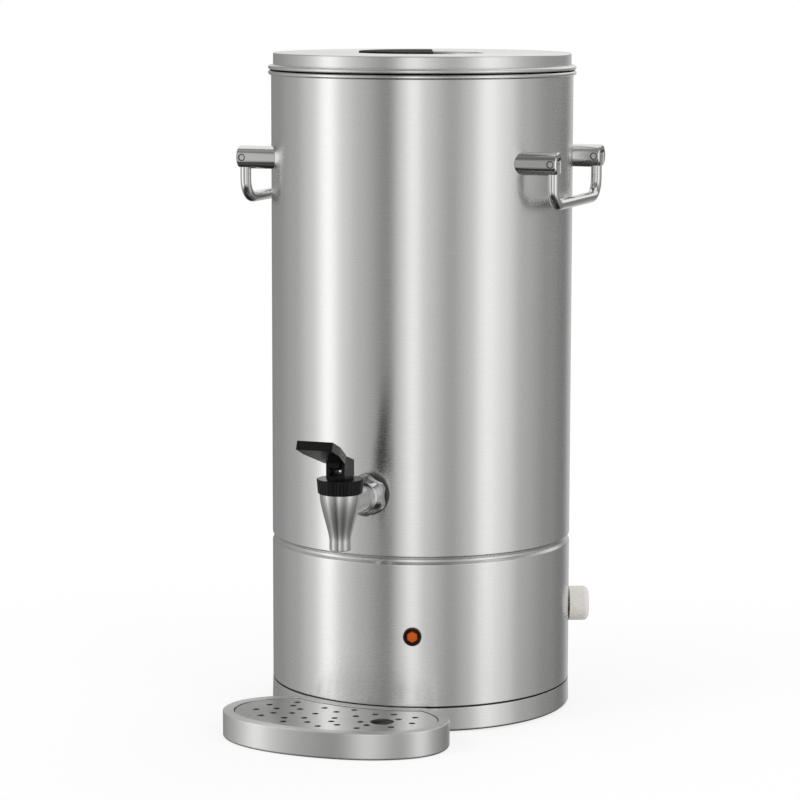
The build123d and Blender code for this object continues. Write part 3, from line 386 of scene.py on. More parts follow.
lens_radius, lens_rise, lens_edge, lens_back = 5.15, 1.0, 0.9, 0.3
lens_dome = [radians(a) for a in range(0, 91, 6)]
lens_section = [(lens_radius * sin(a), lens_edge + lens_rise * cos(a)) for a in lens_dome]
lens_section += [(lens_radius, lens_back), (0, lens_back)]
lamp_lens = spun("lamp_lens_moulded", lens_section, small_turns, lamp_place)
amber, tree, shader, place = new_finish("amber_lens", {"Specular IOR Level": 0.15})
lamp_spot = lamp_place.translation
lamp_right = tuple(lamp_place.col[0][:3])
offset = add(tree, "ShaderNodeVectorMath", {0: place, 1: tuple(lamp_spot)}, operation="SUBTRACT").outputs[0]
aside = add(tree, "ShaderNodeVectorMath", {0: offset, 1: lamp_right}, operation="DOT_PRODUCT")
aside = sums(tree, "ABSOLUTE", aside.outputs["Value"])
height = add(tree, "ShaderNodeSeparateXYZ", {"Vector": offset}).outputs["Z"]
# The two distances that bound the six-sided patch: to its upright sides and to its slanting ones.
half_aside = sums(tree, "MULTIPLY", aside, 0.5)
slant = sums(tree, "MULTIPLY_ADD", sums(tree, "ABSOLUTE", height), 0.866, half_aside)
across = sums(tree, "SMOOTH_MAX", aside, slant, 0.8 * MM)
rib_pitch = 1.25 * MM
ribs = sums(tree, "SINE", sums(tree, "MULTIPLY", height, 2 * pi / rib_pitch))
# Painted glow: the amber is lighter and darker along the ribs, and goes dark red outside the six-sided patch,
# where the painted glow ends.
painted_glow = tint(tree, spread(tree, ribs, 0.0, 1.0, -1, 1), (0.40, 0.055, 0.004), (0.72, 0.150, 0.012))
rim = spread(tree, across, 0.0, 1.0, 3.1 * MM, 3.9 * MM)
edge = add(tree, "ShaderNodeMix", {0: rim, 6: painted_glow, 7: (0.035, 0.004, 0.003, 1)}, data_type="RGBA")
tree.links.new(edge.outputs[2], shader.inputs["Base Color"])
haze = spread(tree, speckle(tree, place, 900.0), 0.25, 0.4)
tree.links.new(haze, shader.inputs["Roughness"])
relief(tree, shader, ribs, 0.1 * MM, 0.5)
hand_over(lamp_lens, amber, "urn", "lamp_amber", "lamp_lens")

# ---- Thermostat knob ----
# The knob is moulded in ivory plastic, hollow at the back, and pushed on to the flat of the shaft.
# It turns just clear of the housing.
knob_plastic = soft_moulding(
    "ivory_plastic", (0.76, 0.73, 0.69), (0.83, 0.80, 0.76), 0.42, 1800.0, shine=0.35,
)
knob_section = eased([(0, 4.6), (9.5, 4.6, 0.5), (9.5, 0.4), (13, 0.4, 0.3), (13, 15.4, 4), (0, 15.1)])
knob = spun("heat_knob_moulded", knob_section, small_turns, facing(112, 73))
hand_over(knob, knob_plastic, "thermostat_knob", "knob_plastic", "thermostat_knob")

# ---- Cord gland ----
# A black moulded gland guides the mains cord out of the back of the housing.
# Its nose tapers outwards and a nut holds it from inside.
gland_section = eased([
    (4.3, -12), (7.9, -12), (7.9, -0.7), (12, -0.7), (12, 6, 1.5), (8.6, 6, 0.8), (6.5, 18, 0.8),
    (4.3, 18, 0.4),
])
bar_turns = 72
gland = spun("cord_gland_moulded", gland_section, bar_turns, facing(180, 45))
hand_over(gland, black_gloss, "urn", "black_plastic", "cord_gland")
paint(black_gloss, "gland_nut")

# ---- Water tank ----
# The tank is drawn from stainless sheet, smooth and dull inside, with a pressed floor welded to its wall.
# Its flange runs out over the jacket and is rolled into a bead.
# Painted shade: the tank and lid steel go nearly black along the crevice between their beads.
rim_groove_shade = (478.4, 0.85)
tank_steel = brushed_steel(
    "smooth_tank_steel", (0.74, 0.74, 0.73), 0.24, pull=0.5, groove=rim_groove_shade, dull_within=105,
)
bead_middle, bead_radius = 112.9, 1.8


def bead(height, start, end):
    """Rolled edge of the tank or the lid, from one angle of its round section to another."""
    steps = 22
    turns = [radians(start + (end - start) * k / steps) for k in range(steps + 1)]
    return [(bead_middle + bead_radius * cos(turn), height + bead_radius * sin(turn)) for turn in turns]


wall_section = eased([(105, 161), (104, 161), (104, 477.95, 1.2), (111.9, 477.95)], closed=False)
wall_section = [tuple(p) for p in wall_section] + bead(476.45, 123.6, -196.1)
wall_section += [(110.0, 476.95), (105.4, 476.95), (105, 476.5)]
tank = spun("tank_wall_drawn", wall_section, body_turns)
hand_over(tank, tank_steel, "urn", "tank_steel", "inner_tank")
floor_section = eased([(0, 155), (105, 155, 6), (105, 161), (104, 161), (104, 156, 5), (0, 156)])
tank_floor = spun("tank_floor_pressed", floor_section, body_turns)
hand_over(tank_floor, tank_steel, "urn", "tank_steel", "tank_floor")

# ---- Insulation ----
# A blanket of mineral fibre fills the space between the tank and the jacket.
# It is wrapped round the tank before the jacket slides over.
fibre, tree, shader, place = new_finish("mineral_fibre", {"Roughness": 0.95})
stretched = add(tree, "ShaderNodeMapping", {"Vector": place, "Scale": (1, 1, 6)}).outputs["Vector"]
strands = speckle(tree, stretched, 180.0, 8.0)
wool = tint(tree, spread(tree, strands, 0.0, 1.0), (0.66, 0.60, 0.44), (0.86, 0.82, 0.70))
tree.links.new(wool, shader.inputs["Base Color"])
relief(tree, shader, strands, 1.0 * MM)
paint(fibre, "insulation_sleeve")

# ---- Outer jacket ----
# The jacket is one sheet of stainless steel, rolled, welded at the back and brushed round.
# Its lower edge steps in to meet the housing, which makes the groove round the urn.
jacket_top = 474.6
jacket_section = eased([
    (body_radius, jacket_top), (body_radius, joint + joint_slope, 1.5),
    (pinch_radius, joint + joint_flat, 0.8), (pinch_radius, joint), (pinch_radius - sheet, joint),
    (pinch_radius - sheet, 128.1), (body_radius - sheet, 130.3), (body_radius - sheet, jacket_top),
])
jacket = spun("outer_jacket_rolled", jacket_section, body_turns)
hand_over(jacket, shell_steel, "urn", "brushed_steel", "outer_jacket")

# ---- Handle posts ----
# Four turned posts of stainless bar are welded to the jacket. Each is slotted at its tip for the bail
# and cross-drilled for a pin that is sunk a little below the surface.
pin_reach, pin_spread, pin_height = 119.5, 55.3, 413.9


def settled(piece):
    """Applies a piece's modifiers to its mesh."""
    graph = bpy.context.evaluated_depsgraph_get()
    mesh = bpy.data.meshes.new_from_object(piece.evaluated_get(graph))
    piece.modifiers.clear()
    piece.data = mesh
    return piece


def dressed(name, node, width):
    """A copy of a node's mesh, made whole, with its edges broken by width millimetres."""
    flat_enough, real_edge = radians(0.6), radians(40)
    shape = bmesh.new()
    shape.from_mesh(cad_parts[node].data)
    bmesh.ops.remove_doubles(shape, verts=shape.verts, dist=2e-6)
    bmesh.ops.dissolve_limit(shape, angle_limit=flat_enough, verts=shape.verts, edges=shape.edges)
    edges = [e for e in shape.edges if e.is_manifold and e.calc_face_angle() > real_edge]
    bmesh.ops.bevel(
        shape, geom=edges, offset=width * MM, offset_type="OFFSET", segments=3, profile=0.5,
        affect="EDGES", clamp_overlap=True,
    )
    piece = finished(name, shape)
    piece.modifiers.new("Flat faces", "WEIGHTED_NORMAL").keep_sharp = True
    return settled(piece)


def polished_steel(name, colour, roughness, shade=None):
    """Bar or tube with a polished finish, the faintest draw marks and, if shade is given, painted shade in
    its hollows.
    """
    cloud = 0.03
    material, tree, shader, place = new_finish(name, {"Metallic": 1.0})
    marks = speckle(tree, place, 700.0, 2.0)
    broad = speckle(tree, place, 30.0)
    dark = tuple(c * (1 - cloud) for c in colour)
    light = tuple(min(1.0, c * (1 + cloud)) for c in colour)
    steel = tint(tree, spread(tree, broad, 0.0, 1.0), dark, light)
    if shade:
        steel = painted_shade(tree, steel, shade(tree, place))
    tree.links.new(steel, shader.inputs["Base Color"])
    rough = spread(tree, marks, roughness - 0.02, roughness + 0.03)
    tree.links.new(rough, shader.inputs["Roughness"])
    relief(tree, shader, marks, 0.004 * MM, 0.3)
    return material


def pin_hollow_shade(tree, place):
    """Painted shade close round the lines of the handle pins, where they sink into the posts."""
    split = add(tree, "ShaderNodeSeparateXYZ", {"Vector": place}).outputs
    aside = sums(tree, "SUBTRACT", sums(tree, "ABSOLUTE", split["X"]), pin_reach * MM)
    up = sums(tree, "SUBTRACT", split["Z"], pin_height * MM)
    square = sums(tree, "ADD", sums(tree, "MULTIPLY", aside, aside), sums(tree, "MULTIPLY", up, up))
    return spread(tree, sums(tree, "SQRT", square), 0.9, 0.0, 2.5 * MM, 3.0 * MM)


# The posts' steel has painted shade round the sunk pins.
handle_steel = polished_steel("polished_handle_steel", (0.72, 0.72, 0.71), 0.11, shade=pin_hollow_shade)
for side in ("left", "right"):
    posts = dressed(side + "_posts_turned", side + "_handle_posts", 0.25)
    hand_over(posts, handle_steel, "urn", "handle_steel", side + "_handle_posts")

# ---- Handle pins ----
# Four plain steel pins hold the bails in their posts.
# They are cut from bright rod and pressed in from the side.


def node_group(name, inputs):
    """An empty tree of geometry nodes with named inputs."""
    tree = bpy.data.node_groups.new(name, "GeometryNodeTree")
    tree.interface.new_socket("Geometry", in_out="INPUT", socket_type="NodeSocketGeometry")
    for label, kind in inputs.items():
        tree.interface.new_socket(label, in_out="INPUT", socket_type="NodeSocket" + kind)
    tree.interface.new_socket("Geometry", in_out="OUTPUT", socket_type="NodeSocketGeometry")
    return tree, tree.nodes.new("NodeGroupInput").outputs


def close_group(tree, geometry, material):
    """Ends a tree with real geometry in one material."""
    real = add(tree, "GeometryNodeRealizeInstances", {"Geometry": geometry}).outputs[0]
    coated = add(tree, "GeometryNodeSetMaterial", {"Geometry": real, "Material": material}).outputs[0]
    add(tree, "NodeGroupOutput", {"Geometry": coated})


def run_group(piece, tree, values):
    """Runs a tree on a piece with its inputs set, and keeps the plain mesh."""
    modifier = piece.modifiers.new(tree.name, "NODES")
    modifier.node_group = tree
    for item in tree.interface.items_tree:
        if item.in_out == "INPUT" and item.name in values:
            modifier[item.identifier] = values[item.name]
    return settled(piece)


tree, given = node_group("cross_pins", {
    "Pin radius": "Float", "Pin length": "Float", "Sides": "Int", "Metal": "Material",
})
rod = add(tree, "GeometryNodeMeshCylinder", {
    "Vertices": given["Sides"], "Radius": given["Pin radius"], "Depth": given["Pin length"],
})
spots = add(tree, "GeometryNodeMeshToPoints", {"Mesh": given["Geometry"]})
pins = add(tree, "GeometryNodeInstanceOnPoints", {
    "Points": spots.outputs[0], "Instance": rod.outputs["Mesh"], "Rotation": (pi / 2, 0, 0),
})
close_group(tree, pins.outputs[0], given["Metal"])
mesh = bpy.data.meshes.new("handle_pins_pressed")
sides, ends = (-pin_reach, pin_reach), (-pin_spread, pin_spread)
mesh.from_pydata([(x * MM, y * MM, pin_height * MM) for x in sides for y in ends], [], [])
handle_pins = stood("handle_pins_pressed", mesh)
run_group(handle_pins, tree, {
    "Pin radius": 1.98 * MM, "Pin length": 15.4 * MM, "Sides": 32, "Metal": bright_screws,
})
handle_pins.data.shade_smooth()
handle_pins.data.set_sharp_from_angle(angle=radians(40))
hand_over(handle_pins, None, "urn", "fasteners", "handle_pins")

# ---- Bails ----
# Each drop handle is one piece of polished stainless rod, bent to a shallow U.
# Its rounded ends hang on the pins between the cheeks of the posts.
rod_radius, rod_sides = 4.0, 40
bail_foot, bail_bend = 383.7, 14
bail_line = eased([
    (-pin_spread, pin_height), (-pin_spread, bail_foot, bail_bend), (pin_spread, bail_foot, bail_bend),
    (pin_spread, pin_height),
], closed=False)
for side, x in (("left", -pin_reach), ("right", pin_reach)):
    shape = bmesh.new()
    stations = []
    count = len(bail_line)
    for n, spot in enumerate(bail_line):
        along = (bail_line[min(n + 1, count - 1)] - bail_line[max(n - 1, 0)]).normalized()
        stations.append((spot, along, rod_radius))
    (first, first_way, _), (last, last_way, _) = stations[0], stations[-1]
    caps = [radians(a) for a in (15, 30, 45, 60, 75, 85)]
    for turn in caps:
        past, radius = rod_radius * sin(turn), rod_radius * cos(turn)
        stations.insert(0, (first - first_way * past, first_way, radius))
        stations.append((last + last_way * past, last_way, radius))
    rings = []
    for spot, along, radius in stations:
        ring = []
        for k in range(rod_sides):
            turn = 2 * pi * k / rod_sides
            aside = Vector((-along.y, along.x)) * radius * sin(turn)
            corner = Vector((x + radius * cos(turn), spot.x + aside.x, spot.y + aside.y))
            ring.append(shape.verts.new(corner * MM))
        rings.append(ring)
    for ring, after in zip(rings, rings[1:]):
        for k in range(rod_sides):
            m = (k + 1) % rod_sides
            shape.faces.new((ring[k], ring[m], after[m], after[k]))
    shape.faces.new(rings[0])
    shape.faces.new(rings[-1])
    bail = finished(side + "_bail_bent", shape, sharp=60)
    hand_over(bail, handle_steel, side + "_bail", "handle_steel", side + "_bail")

# ---- Tap body ----
# The tap's body is turned from stainless steel and finely brushed, with an open spout below.
# Its shank runs back through the jacket and the tank, sealed by a rubber washer each side of the wall.
tap_reach, tap_height = 171, 176
tap_middle = Vector((0, -tap_reach * MM, tap_height * MM))
tap_place = Matrix.Translation(tap_middle)
tap_steel = brushed_steel(
    "brushed_tap_steel", (0.56, 0.56, 0.55), 0.24, centre=(0, -tap_reach), pull=0.75,
)
knots = [Vector((7.65, -24, 0)), Vector((7.65, -17.5, 0)), Vector((14.6, 0, 0)), Vector((14.6, 9.9, 0))]
flank = [(p.x, p.y) for p in interpolate_bezier(*knots, 24)]
spout_tip = [(5, -30.2), (5.4, -30.7), (7.1, -30.7), (7.5, -30.55), (7.65, -30.1), (7.65, -29.5)]
neck = [(14.4, 10.2), (11.8, 10.2), (11.8, 16.4), (7.5, 16.4), (7.5, -8)]
tap_section = [(5, -8), *spout_tip, (7.65, -24.6), *flank, *neck]
tap_body = spun("tap_body_turned", tap_section, small_turns, tap_place)
hand_over(tap_body, tap_steel, "urn", "tap_steel", "tap_body")

shank_place = Matrix.Translation((0, 0, tap_height * MM)) @ Matrix.Rotation(pi / 2, 4, "X")
shank_section = eased([(6, 89), (10, 89, 0.5), (10, 163.4), (6, 163.4)])
shank = spun("tap_shank_turned", shank_section, bar_turns, shank_place)
shank_steel = polished_steel("turned_shank_steel", (0.66, 0.66, 0.65), 0.22)
hand_over(shank, shank_steel, "urn", "tap_steel")

# ---- Tap nuts and washers ----
# A domed chrome nut draws the tap against the jacket, and a plain one holds it inside the tank.
# The washers between them and the walls are black rubber.
chrome = polished_steel("bright_chrome", (0.60, 0.60, 0.60), 0.08)


def hexagon(width):
    """Distance to the side of a hexagon by angle; width is between two flats."""
    return lambda angle: width / 2 / cos((angle + pi / 6) % (pi / 3) - pi / 6)


nut_section = eased([
    (10.1, 116.1), (14.6, 116.1, 0.5), (15.3, 117.2, 0.8), (14.9, 123, 6.0), (11.4, 129, 1.2), (10.1, 129),
])
nut_turns, across_flats = 144, 28
union_nut = spun("tap_union_nut_domed", nut_section, nut_turns, shank_place, hexagon(across_flats))
hand_over(union_nut, chrome, "urn", "bright_chrome", "tap_union_nut")
paint(chrome, "tap_lock_nut")
paint(rubber, "tap_outer_seal", "tap_inner_seal", "tap_stem_seal", "tap_seat_cup")

# ---- Tap ring nut ----
# The tap's head is held down by a black moulded ring with a fluted grip round its side.
# It screws on to the collar of the body.
ring_section = eased([
    (11.9, 10.2), (14.6, 10.2), (15.75, 10.2, 0.7), (16.1, 14), (16.4, 17), (16.75, 20.5, 0.6), (15, 20.5),
    (9.8, 20.5), (9.8, 17.5), (11.9, 17.5),
])
flutes = 36
ring_nut = spun("tap_ring_nut_fluted", ring_section, 8 * flutes, tap_place)
tree, given = node_group("grip_flutes", {
    "Axis": "Vector", "Flutes": "Int", "Depth": "Float", "Smooth radius": "Float", "Plastic": "Material",
})
position = add(tree, "GeometryNodeInputPosition").outputs[0]
local = add(tree, "ShaderNodeVectorMath", {0: position, 1: given["Axis"]}, operation="SUBTRACT")
local = local.outputs[0]
flat = add(tree, "ShaderNodeVectorMath", {0: local, 1: (1, 1, 0)}, operation="MULTIPLY").outputs[0]
reach = add(tree, "ShaderNodeVectorMath", {0: flat}, operation="LENGTH").outputs["Value"]
outward = add(tree, "ShaderNodeVectorMath", {0: flat}, operation="NORMALIZE").outputs[0]
split = add(tree, "ShaderNodeSeparateXYZ", {0: flat})
turn = sums(tree, "ARCTAN2", split.outputs[1], split.outputs[0])
wave = sums(tree, "COSINE", sums(tree, "MULTIPLY", turn, given["Flutes"]))
groove = sums(tree, "POWER", sums(tree, "MAXIMUM", wave, 0.0), 0.8)
held = sums(tree, "GREATER_THAN", reach, given["Smooth radius"])
inward = sums(tree, "MULTIPLY", given["Depth"], -1.0)
depth = sums(tree, "MULTIPLY", sums(tree, "MULTIPLY", groove, held), inward)
offset = add(tree, "ShaderNodeVectorMath", {0: outward, "Scale": depth}, operation="SCALE").outputs[0]
fluted = add(tree, "GeometryNodeSetPosition", {"Geometry": given["Geometry"], "Offset": offset})
close_group(tree, fluted.outputs[0], given["Plastic"])
run_group(ring_nut, tree, {
    "Axis": tuple(tap_middle), "Flutes": flutes, "Depth": 0.6 * MM, "Smooth radius": 15.2 * MM,
    "Plastic": black_gloss,
})
ring_nut.data.set_sharp_from_angle(angle=radians(40))
hand_over(ring_nut, None, "urn", "black_plastic", "tap_ring_nut")

# ---- Tap spring ----
# A coiled spring of tempered steel wire stands on the stem's collar inside the tower and holds the tap shut.
# Its upper end stays on its seat; the coil is built once, at one fixed length.
tree, given = node_group("coiled_spring", {
    "Foot": "Vector", "Coil radius": "Float", "Coil height": "Float", "Turns": "Float",
    "Wire radius": "Float", "Metal": "Material",
})
coil = add(tree, "GeometryNodeCurveSpiral", {
    "Resolution": 36, "Rotations": given["Turns"], "Start Radius": given["Coil radius"],
    "End Radius": given["Coil radius"], "Height": given["Coil height"],
}).outputs[0]
wire = add(tree, "GeometryNodeCurvePrimitiveCircle", {"Resolution": 14, "Radius": given["Wire radius"]})
wound = add(tree, "GeometryNodeCurveToMesh", {
    "Curve": coil, "Profile Curve": wire.outputs[0], "Fill Caps": True,
})
lifted = add(tree, "GeometryNodeTransform", {"Geometry": wound.outputs[0], "Translation": given["Foot"]})
close_group(tree, lifted.outputs[0], given["Metal"])
spring = stood("tap_spring_coiled", bpy.data.meshes.new("tap_spring_coiled"))
spring_foot = (0.0, -tap_reach * MM, 185.04 * MM)
run_group(spring, tree, {
    "Foot": spring_foot, "Coil radius": 4.4 * MM, "Coil height": 11.42 * MM, "Turns": 5.2,
    "Wire radius": 0.5 * MM, "Metal": dark_steel,
})
spring.data.shade_smooth()
spring.data.set_sharp_from_angle(angle=radians(60))
hand_over(spring, None, "urn", "fasteners", "tap_spring")
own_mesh(spring)

# ---- Tap tower and lever ----
# A slotted tower rises from the ring, and the lever turns on a pin through its cheeks.
# Both are moulded in black plastic, and pressing the lever's broad end lifts the stem inside.
tower = dressed("tap_tower_moulded", "tap_tower", 0.35)
hand_over(tower, black_gloss, "urn", "black_plastic", "tap_tower")
lever = dressed("tap_lever_moulded", "tap_lever", 0.45)
hand_over(lever, black_gloss, "tap_lever", "black_plastic", "tap_lever")

# ---- Lid ----
# The lid is spun from brushed stainless sheet, with a sunk middle for the grip and a rolled lower edge.
# A plain plate closes it below, and its rim sits inside the tank.
lid_steel = brushed_steel("brushed_lid_steel", (0.76, 0.76, 0.75), 0.33, pull=0.6, groove=rim_groove_shade)
lid_section = [tuple(p) for p in eased([
    (0, 475.2), (48.5, 475.2, 5), (48.5, 491.2, 2.5), (111, 491.2, 1.2), (111, 480.6),
], closed=False)]
lid_section += bead(480.35, 172, -146.3)
lid_section += [tuple(p) for p in eased([
    (110, 479.35), (110, 490.2), (49.5, 490.2, 1.5), (49.5, 474.2, 6), (0, 474.2),
], closed=False)]
lid_shell = spun("lid_shell_spun", lid_section, body_turns)
hand_over(lid_shell, lid_steel, "lid", "brushed_steel", "lid_shell")
plate_section = eased([
    (0, 466.55), (103.3, 466.55, 5), (103.3, 478.55, 0.4), (109.95, 478.55), (109.95, 479.3),
    (102.5, 479.3, 0.8), (102.5, 467.35, 4.2), (0, 467.35),
])
lid_plate = spun("lid_plate_pressed", plate_section, body_turns)
hand_over(lid_plate, lid_steel, "lid", "brushed_steel", "lid_inner_plate")

# ---- Lid grip ----
# A black moulded plate stands on two posts in the lid's recess, and fingers reach under its straight edge.
# Two screws from below hold it.
grip_plastic = soft_moulding(
    "black_grip_plastic", (0.006, 0.006, 0.006), (0.012, 0.012, 0.012), 0.5, 1600.0, shine=0.01,
)
lid_grip = dressed("lid_grip_moulded", "lid_grip", 0.3)
hand_over(lid_grip, grip_plastic, "lid", "grip_plastic", "lid_grip")

# ---- Drip tray ----
# The tray is pressed from one stainless sheet: an oval whose back is hollowed to the urn's round base.
# It has a flat rim, a ledge that carries the grid and a shallow basin below.
tray_x, tray_y = -13.1, -146.7
half_width, half_depth, squareness = 84.8, 52.3, 2.14
hollow_radius, corner_radius = 113.5, 12
tray_steel = brushed_steel("brushed_tray_steel", (0.79, 0.79, 0.78), 0.4, centre=(tray_x, tray_y), pull=0.7)


def oval(turn):
    """Point of the tray's oval and the direction into the tray there."""
    power = 2 / squareness
    c, s = cos(turn), sin(turn)
    across, along = copysign(abs(c) ** power, c), copysign(abs(s) ** power, s)
    spot = Vector((tray_x + half_width * across, tray_y + half_depth * along))
    across, along = copysign(abs(c) ** (2 - power), c), copysign(abs(s) ** (2 - power), s)
    out = Vector((across / half_width, along / half_depth))
    return spot, -out.normalized()


def corner_turn(low, high):
    """Where the oval's corner meets the hollow: an arc of the corner's radius touches both there."""
    for _ in range(60):
        middle = (low + high) / 2
        spot, inward = oval(middle)
        if (spot + inward * corner_radius).length > hollow_radius + corner_radius:
            low = middle
        else:
            high = middle
    return low


right_turn, left_turn = corner_turn(0.0, pi / 2), corner_turn(pi, pi / 2)
tray_edge = []
oval_steps, hollow_steps, corner_steps = 150, 60, 15
for k in range(oval_steps + 1):
    tray_edge.append(oval(left_turn + (right_turn + 2 * pi - left_turn) * k / oval_steps))


def tray_corner(turn, reverse):
    """The arc between the oval and the hollow, with its centre."""
    spot, inward = oval(turn)
    centre = spot + inward * corner_radius
    first, last = spot - centre, -centre.normalized() * corner_radius
    angle = first.angle(last)
    arc = []
    for k in range(1, corner_steps):
        share = k / corner_steps
        arm = (first * sin((1 - share) * angle) + last * sin(share * angle)) / sin(angle)
        arc.append((centre + arm, -arm.normalized()))
    return centre, arc[::-1] if reverse else arc


right_centre, right_arc = tray_corner(right_turn, False)
left_centre, left_arc = tray_corner(left_turn, True)
tray_edge += right_arc
right_way, left_way = atan2(right_centre.x, -right_centre.y), atan2(left_centre.x, -left_centre.y)
for k in range(hollow_steps + 1):
    way = right_way + (left_way - right_way) * k / hollow_steps
    out = Vector((sin(way), -cos(way)))
    tray_edge.append((out * hollow_radius, out))
tray_edge += left_arc


def pressed(name, section, caps=()):
    """A section of (inset, height) points carried round the tray's outline, with the named rings closed over.

    The wall beside the grid's edge is marked in the groove attribute for painted shade, as in a gap where no
    light gets in.
    """
    shape = bmesh.new()
    groove = shape.verts.layers.float.new("groove")
    rings = []
    for inset, height in section:
        ring = [edge + inward * inset for edge, inward in tray_edge]
        rings.append([shape.verts.new((p.x * MM, p.y * MM, height * MM)) for p in ring])
        # Painted shade: the steel's colour goes nearly black on the wall beside the grid.
        painted_shade_beside_grid = 7.9 < inset < 8.6 and 16 < height < 18.8
        if painted_shade_beside_grid:
            for vert in rings[-1]:
                vert[groove] = 1
    count = len(tray_edge)
    joined = range(len(rings) - 1) if caps else range(len(rings))
    for n in joined:
        ring, after = rings[n], rings[(n + 1) % len(rings)]
        for k in range(count):
            m = (k + 1) % count
            shape.faces.new((ring[k], ring[m], after[m], after[k]))
    for n in caps:
        shape.faces.new(rings[n])
    return finished(name, shape)


tray_section = [tuple(p) for p in eased([
    (11.4, 2), (11, 2.4), (11, 15.5), (7, 15.5), (7, 18.5), (1, 18.5), (1, 1, 3), (6, 1), (6, 0),
    (0, 0, 1.8), (0, 19.5, 0.9), (8, 19.5, 0.4), (8, 18.7), (8, 16.5), (11.6, 16.5, 0.3), (11.6, 3.4),
    (12, 3),
], closed=False)]
tray = pressed("drip_tray_pressed", tray_section, (0, -1))
hand_over(tray, tray_steel, "drip_tray", "brushed_steel", "drip_tray")

# ---- Drip grid ----
# A loose stainless plate lies on the tray's ledge, punched with drain holes and one finger hole.
# Its edge is turned down all round so that it stays flat.
grid_steel = brushed_steel(
    "bright_grid_steel", (0.76, 0.76, 0.75), 0.2, centre=(tray_x, tray_y), streak=0.02, pull=0.4,
)
finger_spot, finger_radius, drain_radius = Vector((25.4, -154.0)), 8.5, 2.4
plate_foot, plate_inset = 17.9, 10.2
clear_of_finger, clear_of_hollow = 12.9, 127.6
field_width, field_depth = 76.8, 44.3
holes = [(finger_spot, finger_radius)]
for share, count, start in ((0.79, 13, -7.0), (0.62, 13, 7.0), (0.43, 9, 37.0), (0.2, 4, 10.0)):
    for n in range(count):
        turn = radians(start + 360 * n / count)
        aside, ahead = share * field_width * cos(turn), share * field_depth * sin(turn)
        spot = Vector((tray_x + aside, tray_y + ahead))
        if (spot - finger_spot).length > clear_of_finger and spot.length > clear_of_hollow:
            holes.append((spot, drain_radius))
edge_ring = [edge + inward * plate_inset for edge, inward in tray_edge]
mesh = bpy.data.meshes.new("grid_plate")
corners = [(p.x * MM, p.y * MM, plate_foot * MM) for p in [*edge_ring, *(spot for spot, _ in holes)]]
count = len(edge_ring)
mesh.from_pydata(corners, [(k, (k + 1) % count) for k in range(count)], [])
bores = mesh.attributes.new("bore", "FLOAT", "POINT")
bores.data.foreach_set("value", [0.0] * count + [radius * MM for _, radius in holes])
grid_plate = stood("grid_plate", mesh)
tree, given = node_group("punched_plate", {
    "Height": "Vector", "Thickness": "Float", "Hole sides": "Int", "Metal": "Material",
})
bore = add(tree, "GeometryNodeInputNamedAttribute", {"Name": "bore"}, data_type="FLOAT").outputs[0]
is_hole = add(tree, "FunctionNodeCompare", {0: bore, 1: 0.0001}, data_type="FLOAT", operation="GREATER_THAN")
rim_curve = add(tree, "GeometryNodeMeshToCurve", {"Mesh": given["Geometry"]}).outputs[0]
spots = add(tree, "GeometryNodeMeshToPoints", {"Mesh": given["Geometry"], "Selection": is_hole.outputs[0]})
circle = add(tree, "GeometryNodeCurvePrimitiveCircle", {"Resolution": given["Hole sides"], "Radius": 1.0})
rounds = add(tree, "GeometryNodeInstanceOnPoints", {
    "Points": spots.outputs[0], "Instance": circle.outputs[0], "Scale": bore,
})
both = add(tree, "GeometryNodeJoinGeometry", {"Geometry": rim_curve})
tree.links.new(rounds.outputs[0], both.inputs["Geometry"])
lines = add(tree, "GeometryNodeRealizeInstances", {"Geometry": both.outputs[0]}).outputs[0]
filled = add(tree, "GeometryNodeFillCurve", {"Curve": lines}).outputs[0]
raised = add(tree, "GeometryNodeExtrudeMesh", {
    "Mesh": filled, "Offset": (0, 0, 1), "Offset Scale": given["Thickness"], "Individual": False,
}).outputs[0]
under = add(tree, "GeometryNodeFlipFaces", {"Mesh": filled}).outputs[0]
closed = add(tree, "GeometryNodeJoinGeometry", {"Geometry": raised})
tree.links.new(under, closed.inputs["Geometry"])
whole = add(tree, "GeometryNodeMergeByDistance", {"Geometry": closed.outputs[0], "Distance": 1e-6})
lifted = add(tree, "GeometryNodeTransform", {
    "Geometry": whole.outputs[0], "Translation": given["Height"],
})
close_group(tree, lifted.outputs[0], given["Metal"])
run_group(grid_plate, tree, {
    "Height": (0.0, 0.0, plate_foot * MM), "Thickness": 1.0 * MM, "Hole sides": 40, "Metal": grid_steel,
})
grid_rim = pressed("grid_rim", eased([
    (8.5, 16.8), (8.5, 18.9, 0.5), (plate_inset, 18.9), (plate_inset, plate_foot), (9.7, plate_foot),
    (9.7, 16.8),
]))
shape = bmesh.new()
shape.from_mesh(grid_plate.data)
punched_sheet = finished("punched_sheet", shape)
shape = bmesh.new()
for part in (punched_sheet, grid_rim):
    shape.from_mesh(part.data)
mesh = bpy.data.meshes.new("drip_grid_punched")
shape.to_mesh(mesh)
shape.free()
grid = stood("drip_grid_punched", mesh)
for part in (grid_plate, punched_sheet, grid_rim):
    bpy.data.objects.remove(part)
hand_over(grid, grid_steel, "drip_grid", "brushed_steel", "drip_grid")

# ---- Light tent ----
# The urn stands in a round tent of white and grey cloth, as polished ware does in a studio.
# Three tall bright panels and the dim cloth between them give the steel its long reflections.
# The tent is low behind, and its roof covers only the front half.


def unseen(piece, *kinds):
    """Hides a piece from rays of these kinds."""
    for kind in kinds:
        setattr(piece, "visible_" + kind, False)


